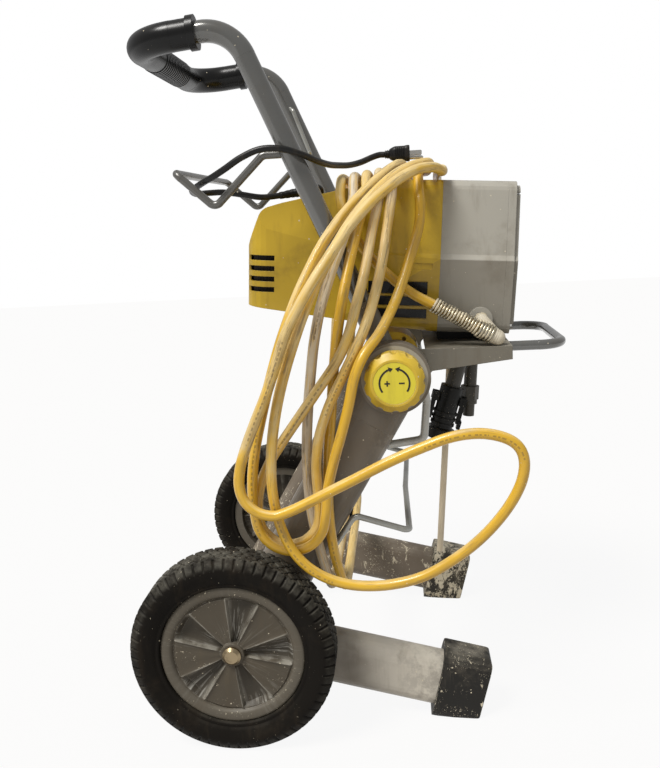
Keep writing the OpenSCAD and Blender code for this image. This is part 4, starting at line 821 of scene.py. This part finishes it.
tyre_black = coated("tyre_rubber", (0.0060, 0.0046, 0.0030), 0.66, shine=0.12, drift=0.3, flecks=0.02,
                    specks=0.70, dust=0.06, worn=0.25, under=(0.10, 0.09, 0.075),
                    grime=(0.030, 0.022, 0.014), grimy=0.6, peel=700.0, bump=0.22, soften=0.0,
                    tint=dusty_blocks)
for name, side, body in (("tyre_near_tread", -1, "wheel_near"), ("tyre_far_tread", 1, "wheel_far")):
    tyre = make_tyre(name, side, body, tyre_black)
    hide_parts("tyre_near" if side < 0 else "tyre_far")
    print(name, len(tyre.data.polygons), "faces")

# %% [markdown]
# ## Rims like a fan
#
# A rim is one moulding: a hub, a ring that holds the tyre, and five raised panels with a
# valley between each two. Seen flat on, its height depends only on the distance from the
# axle and the angle, so a grid in these two gives it, as long as lines of the grid fall on
# the edges of the panels. Sharp edges are marked afterwards, so that flat stays flat.

# %% Heights of a rim
HUB_R, RING_R, FLANGE_R = 15.0, 75.0, 76.4               # radii where the moulding changes
HUB_Z, PANEL_Z, RING_Z, VALLEY_Z = 17.5, 14.6, 13.6, 4.2
PANELS, PANEL_FROM, PANEL_TURN = 5, 20, 41               # the turns are in degrees
PANEL_PITCH = 360 // PANELS
VALLEY_TURN = PANEL_PITCH - PANEL_TURN
rim_angles = []
for i in range(PANELS):
    a0 = PANEL_FROM + PANEL_PITCH * i
    a1 = a0 + PANEL_TURN
    rim_angles += [a0 + x for x in (-1.1, -0.1, 0.5, 1.1, 2.1, 3.0)]
    rim_angles += [a0 + 3.0 + (PANEL_TURN - 6.0) * k / 8 for k in range(1, 8)]
    rim_angles += [a1 - x for x in (3.0, 2.1, 1.1, 0.5, -0.1, -1.1)]
    rim_angles += [a1 + 1.1 + (VALLEY_TURN - 2.2) * k / 7 for k in range(1, 7)]
flange = {76.4: 15.4, 77.4: 16.6, 79.0: 17.4, 82.0: 17.8, 86.0: 18.0, 87.6: 17.7, 89.0: 16.9, 90.0: 15.2}
rim_radii = [8.05, 13.4, 14.4, HUB_R, 15.4, 18, 22, 28, 34, 40, 46, 52, 58, 64, 69, 72, 73.6, 74.4, RING_R]
rim_radii += list(flange)


def past_edge(angle):
    """Degrees from the start of the nearest panel, from just before it to the next one."""
    return (angle - PANEL_FROM + 0.6) % PANEL_PITCH - 0.6


def valley_depth(angle):
    """1 in the middle of a valley between two panels, 0 on a panel."""
    x = past_edge(angle) - PANEL_TURN
    return math.sin(math.pi * x / VALLEY_TURN) ** 0.5 if 0.3 < x < VALLEY_TURN - 0.3 else 0.0


def ridge_share(angle):
    """1 on the raised edges of a panel, 0 elsewhere."""
    x = past_edge(angle)
    return 1 - ease(min(abs(x), abs(x - PANEL_TURN), PANEL_PITCH - x), 0.8, 1.8)


def panel_height(r, x):
    """Height of a panel at an angle x from its edge: a ridge round a slightly hollow face."""
    inside = min(x, PANEL_TURN - x)
    if inside < -0.05:
        return RING_Z
    ridge = 1.3 * ease(inside, -0.1, 0.6) * (1 - ease(inside, 1.2, 2.6)) * ease(r, HUB_R, 30)
    return PANEL_Z + ridge - 1.6 * ease(r, 72.0, 74.4) - 0.5 * math.sin(math.pi * ease(inside, 2, 20))


def valley_height(r, x):
    """Height of a valley at an angle x from its edge, rising to the ring outside it."""
    t = abs(x / VALLEY_TURN - 0.5) * 2
    valley = VALLEY_Z + 5.5 * t ** 1.5 + 1.2 * math.sin(math.radians(x * 5.8))
    return valley + (RING_Z - valley) * ease(r, 66, 74.4) ** 2


def front_height(r, angle):
    if r <= HUB_R:
        return HUB_Z - (0.5 if r > 13.5 else 0.0) - (1.0 if r > 14.5 else 0.0)
    if r >= FLANGE_R:
        return flange[r]
    if r >= RING_R:
        return RING_Z
    x = past_edge(angle)
    return panel_height(r, x) if x <= PANEL_TURN + 0.6 else valley_height(r, x - PANEL_TURN)


def back_height(r, angle):
    if r <= HUB_R:
        return -13.5
    if r >= FLANGE_R:
        return -17.6 if r < 89.5 else -15.2
    rib = abs(((angle + 18) % 36) - 18)
    return -4.5 - (8.5 * (1 - ease(rib, 1.2, 2.2)) if r < RING_R else 0.0)


print("rim grid:", len(rim_angles), "x", len(rim_radii))


# %% Both rims
def make_rim(name, side, body, material):
    centre = at(0, side * WHEEL_Y, TYRE_R)
    n, m = len(rim_angles), len(rim_radii)
    skin, faces, marks, ridges = [], [], [], []
    for height in (front_height, back_height):
        for angle in rim_angles:
            a = math.radians(angle)
            for r in rim_radii:
                marks += [r / 1000, a * 0.09, valley_depth(angle) if HUB_R < r < RING_R else 0.0]
                ridges.append(ridge_share(angle) if 18 < r < 74 else 0.0)
                h = side * height(r, angle)
                skin.append(centre + Vector((r * math.cos(a), h, r * math.sin(a))) / 1000)
    for i in range(n):
        a, b = i * m, (i + 1) % n * m                # the same ray in front, and the next one
        c, d = a + n * m, b + n * m                  # and at the back
        for k in range(m - 1):
            faces.append((a + k, a + k + 1, b + k + 1, b + k))
            faces.append((c + k, d + k, d + k + 1, c + k + 1))
        faces.append((a + m - 1, c + m - 1, d + m - 1, b + m - 1))
        faces.append((a, b, d, c))
    rim = make_piece(name, skin, faces, body, material)
    carry(rim, "fan", marks, "FLOAT_VECTOR")
    carry(rim, "ridge", ridges)
    return turned_out(rim, 28.0)


def fanned(r, base):
    """Shade in the valleys, and paint dust dragged along them."""
    fan = r.carried("fan", "Vector")
    radius, valley = r.split(fan)["X"], r.split(fan)["Z"]
    base = r.blend(r.times(valley, 0.55), base, (0.030, 0.026, 0.020))
    drawn = r.step(r.noise(1.0, 7.0, 0.66, r.stretched(22, 190, 0, fan), twist=0.5), 0.50, 0.66)
    patch = r.step(r.noise(17.0, 4.0), 0.44, 0.60)
    dusted = r.times(r.times(drawn, patch), r.plus(0.14, r.times(valley, 0.75)))
    base = r.blend(dusted, base, (0.42, 0.41, 0.37))
    chipped = r.times(r.carried("ridge"), r.step(r.noise(38.0, 5.0, 0.6), 0.34, 0.58))
    base = r.blend(r.times(chipped, 0.75), base, (0.30, 0.285, 0.245))
    ring = r.times(r.step(radius, RING_R / 1000, RING_R / 1000 + 0.0018), 0.45)
    return r.blend(ring, base, (0.135, 0.122, 0.098))


rim_grey = coated("rim_plastic", (0.074, 0.062, 0.045), 0.50, shine=0.25, drift=0.16, specks=0.66, dust=0.10,
                  worn=0.9, under=(0.33, 0.31, 0.27), bump=0.12, tint=fanned)
for name, side, body in (("rim_near_panels", -1, "wheel_near"), ("rim_far_panels", 1, "wheel_far")):
    rim = make_rim(name, side, body, rim_grey)
    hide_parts("rim_near" if side < 0 else "rim_far")
    print(name, len(rim.data.polygons), "faces")

# %% [markdown]
# ## The spring guard and the hose's end
#
# A close spring keeps the hose from kinking where it leaves the machine. It is a wire of
# round section wound on a helix, so it is a tube round a helical path. Its first turns sit
# on the ferrule and are wider, and dried paint has built up on the elbow behind them. The
# free end of the hose carries a crimped ferrule and a swivel nut, which is a turned shape
# with six flats.

# %% Spring guard
guard_axis = hose_out
guard_side = guard_axis.cross(Vector((0, 1, 0)))
guard_coils, guard_r, guard_wide_r, guard_wire = 21, 8.4, 10.4, 1.5
guard_from = 6.0
guard_run = guard_end - guard_from - 2 * guard_wire
turn_steps = 20
helix = []
for i in range(guard_coils * turn_steps + 1):
    a = 2 * math.pi * i / turn_steps
    t = guard_from + guard_run * i / (guard_coils * turn_steps)
    narrowing = min(1.0, max(0.0, (t - ferrule_to - guard_wire) / 6.0))
    coil_r = guard_wide_r + (guard_r - guard_wide_r) * narrowing
    outwards = math.cos(a) * guard_side + math.sin(a) * Vector((0, 1, 0))
    helix.append(at(*(elbow + guard_axis * t + coil_r * outwards)))
skin, faces = tube_skin(helix, carried_frames(helix, guard_axis + guard_side), guard_wire / 1000, 10)
guard = make_piece("guard_spring", skin, faces, "sprayer", guard_metal)
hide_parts("spring_guard")
print("spring guard:", guard_coils, "coils of", 2 * guard_wire, "mm wire")


# %% Dried paint round the outlet elbow
outlet_port = Vector((322, -114, 508))
outlet_knee = outlet_port - Vector((0, 7.3, 0))
crust_r, crust_back, crust_to = 9.8, 10.5, 7.0
dome_steps, barrel_steps, crust_sides, arm_r = 8, 14, 28, 8.4
barrel = crust_to + crust_back - crust_r
lengthwise = [crust_r * (1 - math.cos(math.pi / 2 * k / dome_steps)) for k in range(dome_steps + 1)]
lengthwise += [crust_r + barrel * k / barrel_steps for k in range(1, barrel_steps + 1)]
crust_line = [at(*(elbow + guard_axis * (t - crust_back))) for t in lengthwise]


def crust_bulge(i):
    """A dome at the back, then a lumpy barrel that narrows at its front."""
    if i <= dome_steps:
        return max(0.05, math.sin(math.pi / 2 * i / dome_steps))
    return 1.0 + 0.03 * math.sin(1.3 * i) - 0.09 * max(0, i - 18) / 4


def arm_bulge(i):
    return 1.0 + 0.03 * math.sin(1.1 * i)


crust, crust_faces = tube_skin(crust_line, carried_frames(crust_line, (0, 1, 0)), crust_r / 1000, crust_sides,
                               crust_bulge)
arm = [outlet_port.lerp(outlet_knee, k / 4) for k in range(4)]
arm += [outlet_knee.lerp(elbow, k / 10) for k in range(11)]
arm = [at(*p) for p in arm]
arm_skin, arm_faces = tube_skin(arm, carried_frames(arm, (0, 0, 1)), arm_r / 1000, crust_sides, arm_bulge)
crust_faces += [tuple(k + len(crust) for k in face) for face in arm_faces]
make_piece("outlet_crust", crust + arm_skin, crust_faces, "sprayer", crust_cream)
print("dried paint on the outlet:", len(crust_faces), "faces")


# %% Swivel nut on the hose's end
def hex_radius(across, angle):
    """Distance to the flat of a hexagon whose flats are `across` apart."""
    return across / 2 / math.cos((angle + math.pi / 6) % (math.pi / 3) - math.pi / 6)


end_at = Vector(last_up[-1])
nut_side = Vector((1, 0, 0))
nut_up = hose_hangs.cross(nut_side)
end_profile = [
    (5.8, 0.0), (8.0, 0.2), (8.2, 1.0), (8.2, 4.0), (7.7, 4.5), (7.7, 5.3), (8.2, 5.8), (8.2, 9.0),
    (7.7, 9.5), (7.7, 10.3), (8.2, 10.8), (8.2, 15.5), (7.6, 16.4), (6.4, 17.2), (6.4, 19.6)]
nut_profile = [(0.93, 20.0), (1.0, 21.0), (1.0, 29.0), (0.93, 30.0)]        # shares of the hexagon
spigot_profile = [(7.2, 30.0), (7.2, 31.0), (6.0, 31.4)]
spigot_profile += [(6.0 - 0.5 * (k % 2), 32.0 + 0.55 * k) for k in range(17)]
spigot_profile += [(5.6, 41.6), (4.4, 42.0), (3.6, 42.0), (3.4, 36.0), (0.0, 36.0)]
nut_flats, nut_corner, nut_sides = 17.32, 10.0, 48
rows = end_profile + nut_profile + spigot_profile
nut_rows = range(len(end_profile), len(end_profile) + len(nut_profile))
skin = []
for j, (r, z) in enumerate(rows):
    for i in range(nut_sides):
        a = 2 * math.pi * i / nut_sides
        rr = r * min(nut_corner, hex_radius(nut_flats, a)) if j in nut_rows else r
        outwards = nut_side * math.cos(a) + nut_up * math.sin(a)
        skin.append(at(*(end_at + outwards * rr + hose_hangs * z)))
faces = ring_faces(len(rows), nut_sides, capped=False) + [tuple(reversed(range(nut_sides)))]
hose_nut = turned_out(make_piece("hose_end_nut", skin, faces, "sprayer", outlet_metal), 30.0)
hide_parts("hose_end")
print("hose end:", len(faces), "faces")

# %% [markdown]
# ## The plug and the strain relief
#
# A moulded plug is soft to the eye: its body is a rounded box that swells from the lead
# and has grip ribs on its flanks. It is lofted through rounded rectangles. The sleeve at
# the other end of the lead is a taper with rings, which bends with the lead.

# %% Plug
plug_at, plug_sides = Vector((208, -20, 723)), 40


def rounded_box_ring(x, half_y, half_z, power):
    """A ring across the plug: 2 is an ellipse, a higher power is squarer."""
    ring = []
    for i in range(plug_sides):
        a = 2 * math.pi * i / plug_sides
        c, s = math.cos(a), math.sin(a)
        y = half_y * math.copysign(abs(c) ** (2 / power), c)
        z = half_z * math.copysign(abs(s) ** (2 / power), s)
        ring.append(at(*(plug_at + Vector((x, y, z)))))
    return ring


plug_rings = [
    (0.1, 4.1, 4.1, 2), (0.3, 5.2, 5.2, 2), (1.6, 5.2, 5.2, 2), (2.0, 4.6, 4.6, 2), (2.6, 4.6, 4.6, 2),
    (3.0, 5.5, 5.5, 2), (4.4, 5.6, 5.6, 2), (4.8, 5.0, 5.0, 2), (5.4, 5.0, 5.0, 2), (6.0, 6.4, 6.2, 2.2),
    (8.0, 8.6, 7.6, 2.6), (10.5, 10.2, 8.8, 3.0), (13.0, 10.9, 9.6, 3.4)]
for k in range(5):
    for x, half_y in ((0.0, 10.9), (0.5, 10.1), (1.3, 10.1), (1.8, 10.9)):
        plug_rings.append((14.0 + 2.6 * k + x, half_y, 9.9, 3.6))
plug_rings += [
    (28.0, 11.2, 10.3, 4.0), (31.6, 11.4, 10.6, 4.2), (32.6, 11.0, 10.2, 4.2), (33.0, 10.0, 9.4, 4.0)]
skin = [p for row in plug_rings for p in rounded_box_ring(*row)]
faces = ring_faces(len(plug_rings), plug_sides)
plug = turned_out(make_piece("plug_moulding", skin, faces, "sprayer", lead_rubber), 40.0)
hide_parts("mains_plug")
print("plug:", len(faces), "faces")


# %% Plug pins
def bar_rings(low, high, c):
    """Three rings of a bar from low to high along X, with a tip chamfered by c."""
    (x0, y0, z0), (x1, y1, z1) = low, high
    rings = []
    for x, dy, dz in ((x0, 0, 0), (x1 - c, 0, 0), (x1, c / 3, c)):
        rings += [(x, y0 + dy, z0 + dz), (x, y1 - dy, z0 + dz), (x, y1 - dy, z1 - dz), (x, y0 + dy, z1 - dz)]
    return rings


pin_from, pin_to, pin_at = 32.5, 48.9, 6.3
points, faces = [], []
for y in (-pin_at, pin_at):
    faces += ring_faces(3, 4, len(points))
    points += bar_rings((pin_from, y - 0.8, -3.0), (pin_to, y + 0.8, 3.0), 1.0)
earth = [(pin_from, 2.4), (48.0, 2.4), (50.0, 1.7), (50.9, 0.6)]
earth_at, earth_sides = -6, 16
faces += ring_faces(len(earth), earth_sides, len(points))
for x, r in earth:
    for k in range(earth_sides):
        a = 2 * math.pi * k / earth_sides
        points.append((x, r * math.cos(a), earth_at + r * math.sin(a)))
skin = [at(*(plug_at + Vector(p))) for p in points]
pins = turned_out(make_piece("plug_pins", skin, faces, "sprayer", steel), 35.0)
print("plug pins:", len(faces), "faces")

# %% Tapered sleeve on the lead
sleeve_count, sleeve_r, sleeve_sides = 13, 0.0063, 20
sleeve_path = lead_line[:sleeve_count]
sleeve_span = path_length(sleeve_path)


def sleeve_bulge(i):
    share = path_length(sleeve_path[:i + 1]) / sleeve_span
    return 1.0 - 0.27 * share - (0.07 if i % 3 == 1 else 0.0)


sleeve_frames = carried_frames(sleeve_path, (0, 1, 0), start=(-1, 0, 0))
skin, faces = tube_skin(sleeve_path, sleeve_frames, sleeve_r, sleeve_sides, sleeve_bulge)
sleeve = make_piece("lead_sleeve", skin, faces, "sprayer", black_nylon)
print("sleeve:", round(sleeve_span * 1000, 1), "mm long")

# %% [markdown]
# ## A dark sheet of painted shade behind the louvres
#
# The slots in the shroud's rear corners would show daylight through the machine. A dark
# sheet stands there as painted shade. It is a pleated strip bent round inside the rear wall,
# so the path is drawn once in plan and every second point is pushed in by a pleat.

# %% Shroud shade sheet
BODY_LEAN = math.radians(4.4)


def in_body(x, y, z):
    """A place in the leaning motor body, measured in mm from its split line."""
    return at(274 + x * math.cos(BODY_LEAN) + z * math.sin(BODY_LEAN), y,
              589 - x * math.sin(BODY_LEAN) + z * math.cos(BODY_LEAN))


def inwards(y):
    """The rear wall's inside looks ahead, the flanks' insides look at each other."""
    return Vector((1, 0)) if abs(y) < 90 else Vector((0, -math.copysign(1, y)))


corner_turn = [math.radians(a) for a in range(0, 91, 6)]
flank = [(-200 - 2 * k, -95 + k * 0.14) for k in range(11)]
corner = [(-222 - 22 * math.sin(a), -71.5 - 22 * math.cos(a)) for a in corner_turn]
half_plan = flank + corner + [(-244, -70 + 2 * k) for k in range(35)]
plan = half_plan + [(x, -y) for x, y in reversed(half_plan)]
pleat, shade_sheet_thick, shade_sheet_low, shade_sheet_high = 0.9, 0.8, -62, 4
skin = []
for i, (x, y) in enumerate(plan):
    outer = Vector((x, y)) + inwards(y) * pleat * (i % 2)
    inner = outer + inwards(y) * shade_sheet_thick
    skin += [in_body(*outer, z) for z in (shade_sheet_low, shade_sheet_high)]
    skin += [in_body(*inner, z) for z in (shade_sheet_high, shade_sheet_low)]
faces = ring_faces(len(plan), 4)
# The dark sheet is painted shade inside the louvres.
shade_sheet = make_piece("shroud_shade_sheet", skin, faces, "sprayer", painted_shade_sheet, smooth=False)
turned_out(shade_sheet)

# %% [markdown]
# ## Marks on the knob's dial
#
# The dial in the knob shows which way to turn. Two curved arrows and a plus and a minus say
# it without words. They are thin printed shapes that lie a hair above the plate, cut as
# flat outlines with a little thickness, so no texture is needed.

# %% Dial marks
ink_lift, ink_height = 0.00002, 0.00025
low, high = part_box("knob_dial")
dial_front = low.y
dial_centre = Vector(((low.x + high.x) / 2, dial_front, (low.z + high.z) / 2))
print("dial face at y", round(dial_front, 4), "radius", round((high.x - low.x) / 2, 4))


def flat_mark(name, outlines, height, body, material):
    """Plates cut to closed outlines of (x, z) in mm round the dial's middle."""
    skin, faces = [], []
    for outline in outlines:
        faces += ring_faces(2, len(outline), len(skin))
        for y in (-ink_lift, -height):
            skin += [dial_centre + Vector((x / 1000, y, z / 1000)) for x, z in outline]
    return turned_out(make_piece(name, skin, faces, body, material, smooth=False))


def arc_arrow(r, width, a0, a1, head):
    """An arc from a0 to a1 degrees with an arrow head at a1."""
    def spot(radius, angle):
        return radius * math.cos(math.radians(angle)), radius * math.sin(math.radians(angle))

    turn = [a0 + (a1 - a0) * k / 14 for k in range(15)]
    outer = [spot(r + width / 2, a) for a in turn]
    inner = [spot(r - width / 2, a) for a in turn]
    tip = [spot(r + width * 1.5, a1), spot(r, a1 + math.copysign(head, a1 - a0)), spot(r - width * 1.5, a1)]
    return outer + tip + inner[::-1]


def bars(x, z, size, width, cross):
    """A plus, or a minus if it has no cross bar."""
    s, w = size / 2, width / 2
    if not cross:
        return [(x - s, z - w), (x + s, z - w), (x + s, z + w), (x - s, z + w)]
    return [(x - s, z - w), (x - w, z - w), (x - w, z - s), (x + w, z - s), (x + w, z - w), (x + s, z - w),
            (x + s, z + w), (x + w, z + w), (x + w, z + s), (x - w, z + s), (x - w, z + w), (x - s, z + w)]


dial_ink = coated("dial_ink", (0.016, 0.014, 0.010), 0.45, flecks=0.0, specks=0.8, worn=0.0, dust=0.0,
                  grimy=0.0, bump=0.02, soften=0.0)
dial_outlines = [arc_arrow(17.5, 2.2, 215, 110, 16), arc_arrow(17.5, 2.2, -35, 70, 16),
                 bars(-8.5, 0, 6.5, 1.7, True), bars(8.5, 0, 6.5, 1.7, False)]
flat_mark("dial_arrows", dial_outlines, ink_height, "lock_knob_turning", dial_ink)
print("dial marks:", len(dial_outlines))

# %% [markdown]
# ## A finish for every part of the frame
#
# The CAD parts keep their shapes and only trade their plain colour for a finish. A table
# of the finishes and the parts that wear them is easier to check than scattered lines, and
# the last line reports any part that was forgotten.

# %% Finishes of the CAD parts
wearers = [
    (near_frame, "side_frame_near"),
    (far_frame, "side_frame_far"),
    (head_grey, "leg_head_near leg_head_far"),
    (near_cap, "foot_cap_near"),
    (far_cap, "foot_cap_far"),
    (steel, "axle pivot_shaft cover_screws motor_can motor_bearings"),
    (steel, "drive_gear crankshaft connecting_rod piston_rod"),
    (brass, "hub_caps"),
    (copper, "armature"),
    (zinc_wire, "pail_bracket gun_hook"),
    (hook_zinc, "leg_hooks"),
    (knob_yellow, "lock_knob pivot_drum"),
    (dial_yellow, "knob_dial"),
    (handle_grey, "handle_tube front_loop"),
    (grip_rubber, "handle_grip"),
    (rack_grey, "cord_rack"),
    (tray_grey, "tray handle_hub_near handle_hub_far"),
    (shroud_yellow, "shroud"),
    (label_black, "label_plates"),
    (cast_grey, "gear_housing front_cover"),
    (pump_grey, "pump_block pump_cylinder foot_valve"),
    (black_nylon, "cooling_fan pump_base coupling_body coupling_lever_front coupling_lever_rear"),
    (black_nylon, "pressure_knob power_switch prime_knob lead_gland"),
    (cream_tube, "drain_tube"),
    (tyre_black, "tyre_near tyre_far"),
    (rim_grey, "rim_near rim_far"),
    (hose_skin, "hose_run hose_loops hose_tail"),
    (outlet_metal, "outlet_fitting hose_end"),
    (guard_metal, "spring_guard"),
    (lead_rubber, "mains_lead mains_plug")]
finish_of = {part: finish for finish, parts in wearers for part in parts.split()}
for part, piece in cad_parts.items():
    for place in piece.material_slots:
        place.link = "OBJECT"
        place.material = finish_of[part]
print("finished", len(cad_parts), "CAD parts; forgotten:", sorted(set(cad_parts) - set(finish_of)))
